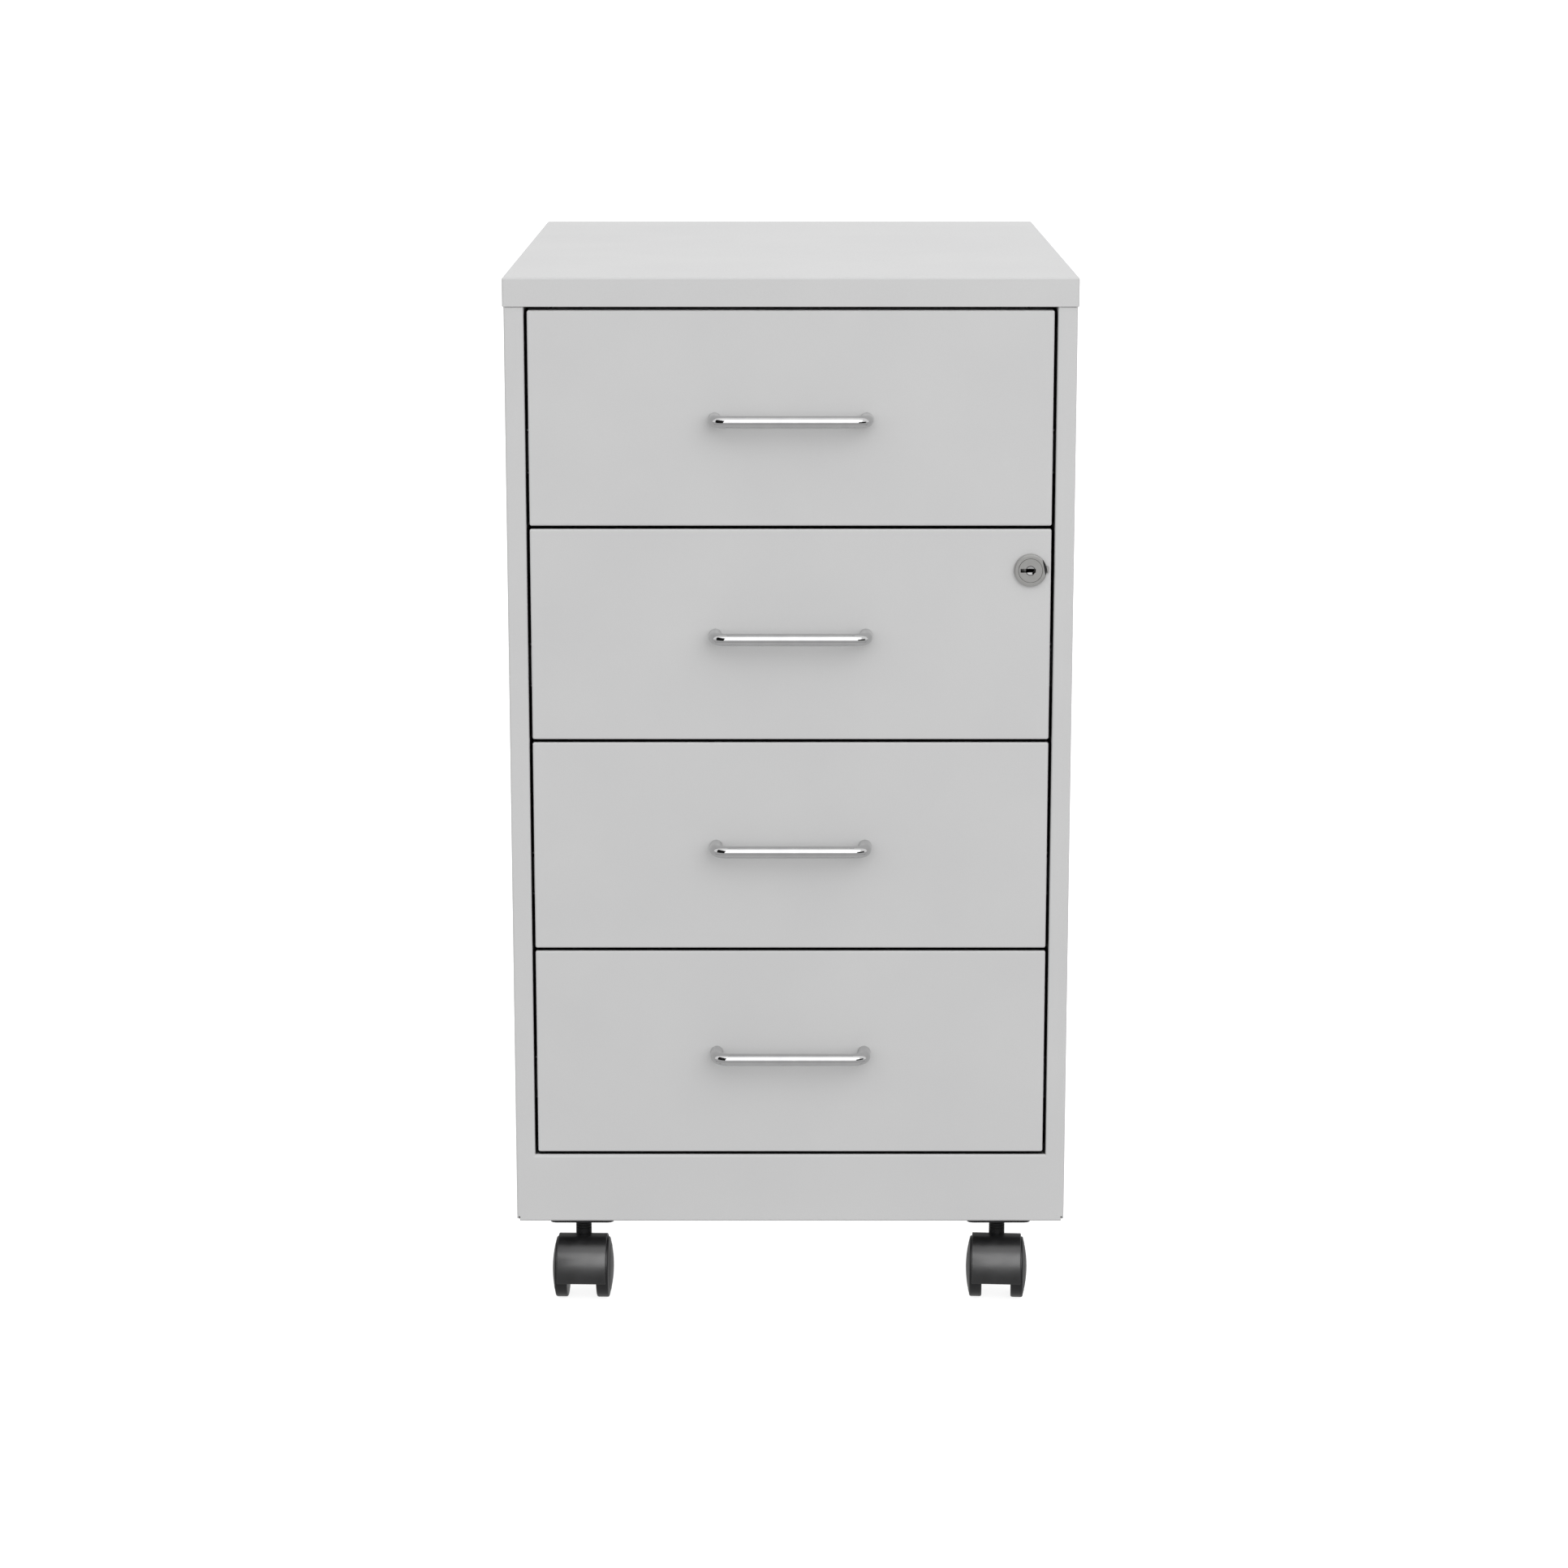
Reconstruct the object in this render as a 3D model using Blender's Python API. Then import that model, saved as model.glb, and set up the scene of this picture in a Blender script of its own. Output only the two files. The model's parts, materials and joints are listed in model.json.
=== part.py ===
"""Four-drawer mobile filing cabinet in folded, powder-coated sheet steel, on four twin-wheel casters.

+Z is up, the drawer fronts face -Y and the wheels stand on z = 0. The origin is on the floor, halfway
between the two sides, and halfway between the outermost face of the pulls and the back of the top cap.
Lengths are in metres.
"""

from math import cos, pi, radians, sin

import bmesh
import bpy
from mathutils import Matrix, Vector

# Gap between solids that touch on the real cabinet, and what a round hole adds to it for its flats.
GAP = 0.0003
FLAT_EASE = 0.0001

# Steps in a full turn of a small round part, and in each round end of the lock's cam.
ROUND_STEPS = 16
CAM_STEPS = 8

# Case.
CASTER_HEIGHT = 0.0570
BODY_HEIGHT = 0.6214
BODY_WIDTH = 0.3604
BODY_DEPTH = 0.4556
CAP_OVERHANG = 0.0008
CAP_LIP = 0.0185
BASE_HEIGHT = 0.0462
STILE_WIDTH = 0.0127
SHEET = 0.0008
BEND = 0.0013
CASE_BEND = 0.0015
BASE_BEND = 0.0026
BEND_SEGMENTS = 3
STILE_LIP = 0.0190
FRAME_RETURN = 0.0060
BASE_RETURN = 0.0150
CORNER_RELIEF = 0.0018
RELIEF_HOLE_RADIUS = 0.0007
RELIEF_HOLE_INSET = 0.0015
RELIEF_HOLE_RISE = 0.0028
REAR_FLANGE = 0.0150
PAN_FLANGE = 0.0120
JOGGLE = 0.0008
TONGUE = 0.0150

# Drawers.
DRAWER_COUNT = 4
TOP_GAP = 0.0023
DRAWER_GAP = 0.0019
FRONT_DEPTH = 0.0150
BOX_RAISE = 0.0080
BOX_HEIGHT = 0.0900
BOX_DEPTH = 0.4090
HEM_WIDTH = 0.0020
HEM_HEIGHT = 0.0060

# Telescopic slides: a fixed rail, a floating member and the runner on the drawer box nest in each other.
SLIDE_SPACE = 0.0127
SLIDE_SHEET = 0.0012
SLIDE_CLEAR = 0.0004
SLIDE_CENTRE = 0.0450
RUNNER_HALF = 0.0110
FLANGE_INSET = 0.0024
RAIL_START = 0.0200
RAIL_LENGTH = 0.4100
MEMBER_START = 0.0167
MEMBER_LENGTH = 0.4000

# Wire pulls.
PULL_CENTRES = 0.0960
PULL_RADIUS = 0.0040
PULL_REACH = 0.0215
PULL_BEND = 0.0080
PULL_ARC_STEPS = 5
PULL_ROUNDNESS = 4

# Cam lock in the second drawer.
LOCK_FROM_SIDE = 0.0132
LOCK_FROM_TOP = 0.0264
LOCK_HEAD_RADIUS = 0.0103
LOCK_RING_RADIUS = 0.0077
LOCK_HEAD = 0.0025
LOCK_BEVEL = 0.0013
LOCK_TAB_HALF = 0.0020
LOCK_TAB_REACH = 0.0012
LOCK_NOTCH_DEPTH = 0.0008
LOCK_NOTCH_FLOOR = 0.0004
LOCK_NOTCH_LOW = -0.0018
LOCK_NOTCH_HIGH = 0.0046
LOCK_BARREL_RADIUS = 0.0085
LOCK_CORE_RADIUS = 0.0060
LOCK_BARREL_END = 0.0210
LOCK_TAIL_END = 0.0245
LOCK_TAIL = 0.0060
KEYWAY_LEFT = 0.0064
KEYWAY_RIGHT = 0.0030
KEYWAY_HEIGHT = 0.0022
KEYWAY_DEPTH = 0.0080
CAM_LENGTH = 0.0210
CAM_WIDTH = 0.0110
CAM_SHEET = 0.0015
NUT_FLATS = 0.0210
NUT_HEIGHT = 0.0030

# Twin-wheel casters.
CASTER_SPREAD = 0.1375
CASTER_FRONT = 0.0230
CASTER_REAR = 0.0500
CASTER_YAWS = {"front_left": -1.5, "front_right": -3.5, "rear_left": 0.0, "rear_right": 0.0}
AXLE_LEAD = 0.0075
WHEEL_RADIUS = 0.0200
WHEEL_INNER = 0.0097
WHEEL_OUTER = 0.0202
WHEEL_STEPS = 24
# A wheel's domed side, from its centre out: distance from the centre and drop, as shares of the radius.
WHEEL_DOME = ((0.0, 0.0), (0.40, 0.02), (0.70, 0.06), (0.94, 0.11), (1.0, 0.16))
WHEEL_EDGE = 0.0012
AXLE_RADIUS = 0.0025
AXLE_HALF = 0.0168
HOOD_INNER = 0.0207
HOOD_OUTER = 0.0219
HOOD_HALF = 0.0162
HOOD_FRONT_ANGLE = -13.0
HOOD_REAR_ANGLE = 150.0
HOOD_FACET_ANGLE = 47.0
HOOD_TAIL_ANGLE = 117.0
HOOD_CORNER_SHARE = 0.6
HOOD_STEPS = 18
WEB_FRONT_ANGLE = 25.0
WEB_REAR_ANGLE = 140.0
WEB_STEPS = 12
WEB_HALF = 0.0085
BOSS_RADIUS = 0.0065
PLATE_SIDE = 0.0420
PLATE_SHEET = 0.0014
PLATE_CORNER = 0.0040
RIVET_SPACING = 0.0300
RIVET_RADIUS = 0.0028
RIVET_FACE_RADIUS = 0.0020
RIVET_HEIGHT = 0.0012
COLLAR_RADIUS = 0.0052
RING_RADIUS = 0.0054
RING_HEIGHT = 0.0041
STEM_RADIUS = 0.0030
STEM_BOTTOM = 0.0385

# Places that follow from the sizes above.
FRONT = (PULL_REACH - BODY_DEPTH - CAP_OVERHANG) / 2
BACK = FRONT + BODY_DEPTH
BOTTOM = CASTER_HEIGHT
TOP = BOTTOM + BODY_HEIGHT
LIP_EDGE = TOP - CAP_LIP
FACE_TOP = LIP_EDGE - GAP
BASE_TOP = BOTTOM + BASE_HEIGHT
HALF_WIDTH = BODY_WIDTH / 2
HALF_OPENING = HALF_WIDTH - STILE_WIDTH
DRAWER_HEIGHT = (LIP_EDGE - BASE_TOP - TOP_GAP - DRAWER_COUNT * DRAWER_GAP) / DRAWER_COUNT
HALF_FRONT = HALF_OPENING - DRAWER_GAP
HALF_BOX = HALF_OPENING - SLIDE_SPACE
LINER = FRONT_DEPTH + GAP
MEMBER_OUT = HALF_OPENING - SLIDE_CLEAR
RUNNER_OUT = MEMBER_OUT - SLIDE_SHEET - SLIDE_CLEAR
RAIL_OUT = HALF_WIDTH - SHEET - GAP
MEMBER_HALF = RUNNER_HALF + SLIDE_CLEAR + SLIDE_SHEET
RAIL_HALF = MEMBER_HALF + SLIDE_CLEAR + SLIDE_SHEET
LOCK_X = HALF_FRONT - LOCK_FROM_SIDE
LOCK_Z = DRAWER_HEIGHT - LOCK_FROM_TOP
NUT_START = LINER + SHEET + GAP
CAM_START = LOCK_BARREL_END + GAP

# Base colour, roughness and metallic value of each finish.
FINISHES = {
    "powder_coat": ((0.58, 0.58, 0.58), 0.45, 0.0),
    "zinc_plate": ((0.62, 0.63, 0.64), 0.35, 1.0),
    "chrome": ((0.85, 0.85, 0.86), 0.08, 1.0),
    "satin_nickel": ((0.50, 0.50, 0.48), 0.32, 1.0),
    "black_nylon": ((0.045, 0.045, 0.048), 0.38, 0.0),
    "black_zinc": ((0.03, 0.03, 0.03), 0.40, 1.0),
}


def clear_scene():
    for thing in list(bpy.data.objects):
        bpy.data.objects.remove(thing, do_unlink=True)


def make_finishes():
    """One Principled material for each entry of FINISHES."""
    made = {}
    for name, (colour, roughness, metallic) in FINISHES.items():
        material = bpy.data.materials.new(name)
        material.use_nodes = True
        shader = material.node_tree.nodes["Principled BSDF"]
        shader.inputs["Base Color"].default_value = (*colour, 1.0)
        shader.inputs["Roughness"].default_value = roughness
        shader.inputs["Metallic"].default_value = metallic
        made[name] = material
    return made


def new_object(name, mesh, finish=None, parent=None, location=(0, 0, 0), yaw=0.0):
    thing = bpy.data.objects.new(name, mesh)
    bpy.context.scene.collection.objects.link(thing)
    thing.location = location
    thing.rotation_euler = (0, 0, radians(yaw))
    thing.parent = parent
    if finish and not mesh.materials:
        mesh.materials.append(finish)
    return thing


def mesh_from(bm, name, smooth=False):
    """Turns a bmesh into a mesh whose faces point out. A smooth one keeps its edges over 35 degrees."""
    bmesh.ops.recalc_face_normals(bm, faces=bm.faces)
    mesh = bpy.data.meshes.new(name)
    bm.to_mesh(mesh)
    bm.free()
    if smooth:
        mesh.shade_smooth()
        mesh.set_sharp_from_angle(angle=radians(35))
    return mesh


def block(low, high):
    """A solid box between two corners."""
    bm = bmesh.new()
    size = Vector(high) - Vector(low)
    centre = (Vector(high) + Vector(low)) / 2
    place = Matrix.Translation(centre) @ Matrix.Diagonal((*size, 1.0))
    bmesh.ops.create_cube(bm, size=1.0, matrix=place)
    return mesh_from(bm, "block")


def prism(outline, axis, start, end, smooth=False):
    """Extrudes a closed outline along an axis. Its points hold the other two coordinates in X, Y, Z order."""
    index = "XYZ".index(axis)
    bm = bmesh.new()
    corners = []
    for a, b in outline:
        point = [a, b]
        point.insert(index, start)
        corners.append(bm.verts.new(point))
    face = bm.faces.new(corners)
    grown = bmesh.ops.extrude_face_region(bm, geom=[face])
    shift = Vector((0, 0, 0))
    shift[index] = end - start
    moved = [item for item in grown["geom"] if isinstance(item, bmesh.types.BMVert)]
    bmesh.ops.translate(bm, vec=shift, verts=moved)
    return mesh_from(bm, "prism", smooth)


def turned(profile, steps, axis="Z", closed=False):
    """Turns a profile of (radius, height) points about an axis through the origin.

    An open profile starts and ends on the axis. A closed one is a ring. Flats face the other axes.
    """
    bm = bmesh.new()
    half_step = pi / steps
    points = [
        bm.verts.new((radius * cos(half_step), radius * sin(half_step), height)) for radius, height in profile
    ]
    pairs = list(zip(points, points[1:]))
    if closed:
        pairs.append((points[-1], points[0]))
    edges = [bm.edges.new(pair) for pair in pairs]
    bmesh.ops.spin(
        bm,
        geom=points + edges,
        cent=(0, 0, 0),
        axis=(0, 0, 1),
        angle=2 * pi,
        steps=steps,
        use_merge=True,
        use_duplicate=False,
    )
    bmesh.ops.remove_doubles(bm, verts=bm.verts, dist=1e-6)
    turns = {"X": Matrix.Rotation(pi / 2, 4, "Y"), "Y": Matrix.Rotation(-pi / 2, 4, "X"), "Z": Matrix()}
    bmesh.ops.transform(bm, matrix=turns[axis], verts=bm.verts)
    return mesh_from(bm, "turned", smooth=True)


def moved(mesh, offset):
    mesh.transform(Matrix.Translation(offset))
    return mesh


def combined(mesh, unions=(), cuts=()):
    """The mesh with other meshes joined to it and cut from it."""
    base = new_object("combine_base", mesh)
    helpers = []
    for operation, tools in (("UNION", unions), ("DIFFERENCE", cuts)):
        for tool in tools:
            helper = new_object("combine_tool", tool)
            helper.hide_render = True
            helper.display_type = "WIRE"
            helpers.append(helper)
            modifier = base.modifiers.new(operation.title(), "BOOLEAN")
            modifier.operation = operation
            modifier.solver = "EXACT"
            modifier.object = helper
    result = evaluated_mesh(base)
    for thing in [base, *helpers]:
        bpy.data.objects.remove(thing, do_unlink=True)
    return result


def evaluated_mesh(thing):
    graph = bpy.context.evaluated_depsgraph_get()
    return bpy.data.meshes.new_from_object(thing.evaluated_get(graph))


def folded_sheet(faces, thickness=SHEET, radius=BEND, wide_bend=None):
    """A sheet folded along the shared edges of its outer faces.

    Each face lists its corners anticlockwise, seen from outside. Outward folds get the bend radius, and the
    metal lies inside the faces. wide_bend is (test, radius): folds whose middle passes the test get it.
    """
    bm = bmesh.new()
    corners = {}
    for face in faces:
        loop = []
        for point in face:
            key = tuple(round(value, 7) for value in point)
            if key not in corners:
                corners[key] = bm.verts.new(point)
            loop.append(corners[key])
        bm.faces.new(loop)
    bm.normal_update()
    widest = max(radius, wide_bend[1]) if wide_bend else radius
    weights = bm.edges.layers.float.new("bevel_weight_edge")
    for edge in bm.edges:
        if len(edge.link_faces) == 2 and edge.calc_face_angle_signed() > radians(60):
            middle = (edge.verts[0].co + edge.verts[1].co) / 2
            wide = wide_bend and wide_bend[0](middle)
            edge[weights] = (wide_bend[1] if wide else radius) / widest
    mesh = bpy.data.meshes.new("folded_sheet")
    bm.to_mesh(mesh)
    bm.free()
    thing = new_object("sheet_base", mesh)
    bevel = thing.modifiers.new("Bends", "BEVEL")
    bevel.limit_method = "WEIGHT"
    bevel.width = widest
    bevel.segments = BEND_SEGMENTS
    bevel.use_clamp_overlap = False
    solid = thing.modifiers.new("Sheet", "SOLIDIFY")
    solid.thickness = thickness
    solid.offset = -1.0
    solid.use_even_offset = True
    result = evaluated_mesh(thing)
    bpy.data.objects.remove(thing, do_unlink=True)
    result.shade_smooth()
    result.set_sharp_from_angle(angle=radians(40))
    return result


def arc(centre, radius, first, last, steps):
    """Points on an arc, from one angle to another in degrees."""
    angles = [radians(first + (last - first) * step / steps) for step in range(steps + 1)]
    return [(centre[0] + radius * cos(angle), centre[1] + radius * sin(angle)) for angle in angles]


def strip(x_first, x_last, levels):
    """Faces that look towards -Y, between two x values, through (y, z) levels from the bottom up."""
    return [
        [(x_first, y0, z0), (x_last, y0, z0), (x_last, y1, z1), (x_first, y1, z1)]
        for (y0, z0), (y1, z1) in zip(levels, levels[1:])
    ]


def face_frame_mesh():
    """Both stiles and the base panel, pressed as one sheet with folded lips around the drawer opening."""
    back_of_return = FRONT + FRAME_RETURN
    back_of_lip = FRONT + STILE_LIP
    side_start = BOTTOM + CORNER_RELIEF
    base_half = HALF_WIDTH - CORNER_RELIEF
    outline = [
        (-base_half, BOTTOM),
        (base_half, BOTTOM),
        (base_half, side_start),
        (HALF_WIDTH, side_start),
        (HALF_WIDTH, FACE_TOP),
        (HALF_OPENING, FACE_TOP),
        (HALF_OPENING, BASE_TOP),
        (-HALF_OPENING, BASE_TOP),
        (-HALF_OPENING, FACE_TOP),
        (-HALF_WIDTH, FACE_TOP),
        (-HALF_WIDTH, side_start),
        (-base_half, side_start),
    ]
    faces = [[(x, FRONT, z) for x, z in outline]]
    for side in (-1, 1):
        returned = [
            (side * HALF_WIDTH, FRONT, FACE_TOP),
            (side * HALF_WIDTH, FRONT, side_start),
            (side * HALF_WIDTH, back_of_return, side_start),
            (side * HALF_WIDTH, back_of_return, FACE_TOP),
        ]
        lip = [
            (side * HALF_OPENING, FRONT, BASE_TOP),
            (side * HALF_OPENING, FRONT, FACE_TOP),
            (side * HALF_OPENING, back_of_lip, FACE_TOP),
            (side * HALF_OPENING, back_of_lip, BASE_TOP),
        ]
        faces += [returned, lip] if side > 0 else [returned[::-1], lip[::-1]]
    faces.append(
        [
            (-HALF_OPENING, FRONT, BASE_TOP),
            (HALF_OPENING, FRONT, BASE_TOP),
            (HALF_OPENING, back_of_lip, BASE_TOP),
            (-HALF_OPENING, back_of_lip, BASE_TOP),
        ]
    )
    faces.append(
        [
            (base_half, FRONT, BOTTOM),
            (-base_half, FRONT, BOTTOM),
            (-base_half, FRONT + BASE_RETURN, BOTTOM),
            (base_half, FRONT + BASE_RETURN, BOTTOM),
        ]
    )
    # Tongues that step back from the stiles and run up behind the lip of the cap.
    levels = [(FRONT, FACE_TOP), (FRONT + JOGGLE, FACE_TOP + JOGGLE), (FRONT + JOGGLE, FACE_TOP + TONGUE)]
    faces += strip(-HALF_WIDTH, -HALF_OPENING, levels)
    faces += strip(HALF_OPENING, HALF_WIDTH, levels)
    wide_bend = (lambda point: abs(point.z - BASE_TOP) < 1e-6, BASE_BEND)
    sheet = folded_sheet(faces, radius=CASE_BEND, wide_bend=wide_bend)
    return combined(sheet, cuts=[relief_hole(side) for side in (-1, 1)])


def relief_hole(side):
    """Cutter for the small round hole beside the folds at a lower corner of the face frame."""
    radius = RELIEF_HOLE_RADIUS
    drill = turned([(0, -SHEET), (radius, -SHEET), (radius, 2 * SHEET), (0, 2 * SHEET)], ROUND_STEPS, "Y")
    return moved(drill, (side * (HALF_WIDTH - RELIEF_HOLE_INSET), FRONT, BOTTOM + RELIEF_HOLE_RISE))


def side_panel_mesh(side):
    """One side of the case, with a rear flange turned inwards and a tongue that runs up inside the cap."""
    front = FRONT + FRAME_RETURN + GAP
    rear_inside = HALF_WIDTH - REAR_FLANGE
    tongue_x = HALF_WIDTH - JOGGLE
    main = [
        (HALF_WIDTH, front, BOTTOM),
        (HALF_WIDTH, BACK, BOTTOM),
        (HALF_WIDTH, BACK, FACE_TOP),
        (HALF_WIDTH, BACK - CASE_BEND - GAP, FACE_TOP),
        (HALF_WIDTH, front, FACE_TOP),
    ]
    rear = [
        (HALF_WIDTH, BACK, BOTTOM),
        (rear_inside, BACK, BOTTOM),
        (rear_inside, BACK, FACE_TOP),
        (HALF_WIDTH, BACK, FACE_TOP),
    ]
    tongue_rear = BACK - CASE_BEND - GAP
    step = [
        (HALF_WIDTH, front, FACE_TOP),
        (HALF_WIDTH, tongue_rear, FACE_TOP),
        (tongue_x, tongue_rear, FACE_TOP + JOGGLE),
        (tongue_x, front, FACE_TOP + JOGGLE),
    ]
    tongue = [
        (tongue_x, front, FACE_TOP + JOGGLE),
        (tongue_x, tongue_rear, FACE_TOP + JOGGLE),
        (tongue_x, tongue_rear, FACE_TOP + TONGUE),
        (tongue_x, front, FACE_TOP + TONGUE),
    ]
    faces = [main, rear, step, tongue]
    if side < 0:
        faces = [[(-x, y, z) for x, y, z in reversed(face)] for face in faces]
    return folded_sheet(faces, radius=CASE_BEND)


def tray_faces(low, high, open_side):
    """The outer faces of a box between two corners, without the one that faces open_side, such as '+Z'."""
    (x0, y0, z0), (x1, y1, z1) = low, high
    faces = {
        "-X": [(x0, y1, z0), (x0, y0, z0), (x0, y0, z1), (x0, y1, z1)],
        "+X": [(x1, y0, z0), (x1, y1, z0), (x1, y1, z1), (x1, y0, z1)],
        "-Y": [(x0, y0, z0), (x1, y0, z0), (x1, y0, z1), (x0, y0, z1)],
        "+Y": [(x1, y1, z0), (x0, y1, z0), (x0, y1, z1), (x1, y1, z1)],
        "-Z": [(x0, y1, z0), (x1, y1, z0), (x1, y0, z0), (x0, y0, z0)],
        "+Z": [(x0, y0, z1), (x1, y0, z1), (x1, y1, z1), (x0, y1, z1)],
    }
    return [face for side, face in faces.items() if side != open_side]


def make_case(finishes):
    """The fixed sheet-metal shell: face frame, sides, back, top cap and bottom pan."""
    paint = finishes["powder_coat"]
    new_object("face_frame", face_frame_mesh(), paint)
    new_object("left_side_panel", side_panel_mesh(-1), paint)
    new_object("right_side_panel", side_panel_mesh(1), paint)

    cap_half = HALF_WIDTH + CAP_OVERHANG
    cap_low = (-cap_half, FRONT - CAP_OVERHANG, LIP_EDGE)
    cap_high = (cap_half, BACK + CAP_OVERHANG, TOP)
    new_object("top_cap", folded_sheet(tray_faces(cap_low, cap_high, "-Z"), radius=CASE_BEND), paint)

    panel_back = BACK - SHEET - GAP
    panel_half = HALF_WIDTH - JOGGLE - SHEET - 2 * GAP
    panel_low = (-panel_half, panel_back - PAN_FLANGE, BOTTOM + SHEET + GAP)
    panel_high = (panel_half, panel_back, FACE_TOP + TONGUE)
    new_object("back_panel", folded_sheet(tray_faces(panel_low, panel_high, "-Y")), paint)

    pan_half = HALF_WIDTH - SHEET - GAP
    pan_low = (-pan_half, FRONT + SHEET + GAP, BOTTOM + SHEET + GAP)
    pan_high = (pan_half, panel_low[1] - GAP, pan_low[2] + PAN_FLANGE)
    new_object("bottom_pan", folded_sheet(tray_faces(pan_low, pan_high, "+Z")), paint)


def channel(x_web, half_height, start, length):
    """A channel along Y whose web is the face at x_web. Its open side faces the drawer box."""
    side = 1 if x_web > 0 else -1
    x_open = side * (HALF_BOX + FLANGE_INSET)
    outline = [(x_open, half_height), (x_web, half_height), (x_web, -half_height), (x_open, -half_height)]
    faces = []
    for (xa, za), (xb, zb) in zip(outline, outline[1:]):
        face = [(xa, start, za), (xa, start + length, za), (xb, start + length, zb), (xb, start, zb)]
        faces.append(face[::-1] if side > 0 else face)
    return folded_sheet(faces, thickness=SLIDE_SHEET, radius=SLIDE_SHEET + GAP)


def runner(side):
    """The drawer box's slide member: a channel with its web in the box wall and its flanges turned out."""
    web = side * (HALF_BOX - SHEET / 2)
    inner_web = side * (HALF_BOX + SLIDE_SHEET)
    tip = side * RUNNER_OUT
    inner_half = RUNNER_HALF - SLIDE_SHEET
    outline = [
        (web, -RUNNER_HALF),
        (tip, -RUNNER_HALF),
        (tip, -inner_half),
        (inner_web, -inner_half),
        (inner_web, inner_half),
        (tip, inner_half),
        (tip, RUNNER_HALF),
        (web, RUNNER_HALF),
    ]
    return moved(prism(outline, "Y", LINER + SHEET / 2, LINER + BOX_DEPTH), (0, 0, SLIDE_CENTRE))


def drawer_box_mesh(lock_hole):
    """Tray, full-height inner wall behind the front, hemmed top edges and a runner on each side."""
    rim = BOX_RAISE + BOX_HEIGHT
    tray_back = LINER + BOX_DEPTH
    tray = block((-HALF_BOX, LINER + SHEET / 2, BOX_RAISE), (HALF_BOX, tray_back, rim))
    hollow_low = (-HALF_BOX + SHEET, LINER, BOX_RAISE + SHEET)
    hollow = block(hollow_low, (HALF_BOX - SHEET, tray_back - SHEET, rim + SHEET))
    tray = combined(tray, cuts=[hollow])
    half = HALF_FRONT - GAP
    inner_wall = block((-half, LINER, GAP), (half, LINER + SHEET, DRAWER_HEIGHT - GAP))
    hem_low = rim - HEM_HEIGHT
    added = [inner_wall, runner(-1), runner(1)]
    for side in (-1, 1):
        inside = side * (HALF_BOX - SHEET / 2)
        edges = sorted((inside, side * (HALF_BOX - HEM_WIDTH)))
        added.append(block((edges[0], LINER + SHEET / 2, hem_low), (edges[1], tray_back - SHEET / 2, rim)))
    back_low = (-HALF_BOX + SHEET / 2, tray_back - HEM_WIDTH, hem_low)
    added.append(block(back_low, (HALF_BOX - SHEET / 2, tray_back - SHEET / 2, rim)))
    cuts = [lock_bore()] if lock_hole else []
    return combined(tray, unions=added, cuts=cuts)


def lock_bore():
    """The round hole that the lock's barrel passes through, in a drawer's own frame."""
    radius = LOCK_BARREL_RADIUS + GAP + FLAT_EASE
    reach = NUT_START
    bore = turned([(0, -reach), (radius, -reach), (radius, reach), (0, reach)], WHEEL_STEPS, "Y")
    return moved(bore, (LOCK_X, 0, LOCK_Z))


def drawer_front_mesh(lock_hole):
    """A pan that faces forward, with its edges folded back."""
    low = (-HALF_FRONT, 0, 0)
    high = (HALF_FRONT, FRONT_DEPTH, DRAWER_HEIGHT)
    pan = folded_sheet(tray_faces(low, high, "+Y"))
    return combined(pan, cuts=[lock_bore()]) if lock_hole else pan


def pull_curve():
    """A round bar bent into a wide U, with both feet square to the drawer front."""
    half = PULL_CENTRES / 2
    out = PULL_RADIUS - PULL_REACH
    corner = arc((PULL_BEND - half, out + PULL_BEND), PULL_BEND, 180, 270, PULL_ARC_STEPS)
    left = [(-half, -GAP), (-half, (out + PULL_BEND) / 2), *corner]
    path = left + [(-x, y) for x, y in reversed(left)]
    curve = bpy.data.curves.new("pull", "CURVE")
    curve.dimensions = "3D"
    curve.bevel_depth = PULL_RADIUS
    curve.bevel_resolution = PULL_ROUNDNESS
    curve.use_fill_caps = True
    spline = curve.splines.new("POLY")
    spline.points.add(len(path) - 1)
    for point, (x, y) in zip(spline.points, path):
        point.co = (x, y, 0, 1)
    spline.use_smooth = True
    return curve


def make_drawers(finishes):
    """Fronts, boxes and pulls on one empty for each drawer, at the bottom centre of the drawer's face."""
    paint = finishes["powder_coat"]
    zinc = finishes["zinc_plate"]
    fronts = {hole: drawer_front_mesh(hole) for hole in (False, True)}
    boxes = {hole: drawer_box_mesh(hole) for hole in (False, True)}
    pull = pull_curve()
    members = {side: channel(side * MEMBER_OUT, MEMBER_HALF, MEMBER_START, MEMBER_LENGTH) for side in (-1, 1)}
    rails = {side: channel(side * RAIL_OUT, RAIL_HALF, RAIL_START, RAIL_LENGTH) for side in (-1, 1)}
    drawers = {}
    for number in range(1, DRAWER_COUNT + 1):
        level = LIP_EDGE - TOP_GAP - number * DRAWER_HEIGHT - (number - 1) * DRAWER_GAP
        place = (0, FRONT, level)
        drawer = new_object(f"drawer_{number}", None, location=place)
        floating = new_object(f"slide_members_{number}", None, location=place)
        locked = number == 2
        new_object(f"drawer_front_{number}", fronts[locked], paint, drawer)
        new_object(f"drawer_box_{number}", boxes[locked], paint, drawer)
        new_object(f"pull_{number}", pull, finishes["chrome"], drawer, (0, 0, DRAWER_HEIGHT / 2))
        for side, word in ((-1, "left"), (1, "right")):
            rail_place = (0, FRONT, level + SLIDE_CENTRE)
            new_object(f"case_rail_{word}_{number}", rails[side], zinc, None, rail_place)
            member_place = (0, 0, SLIDE_CENTRE)
            new_object(f"slide_member_{word}_{number}", members[side], zinc, floating, member_place)
        drawers[number] = drawer
    return drawers


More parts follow.
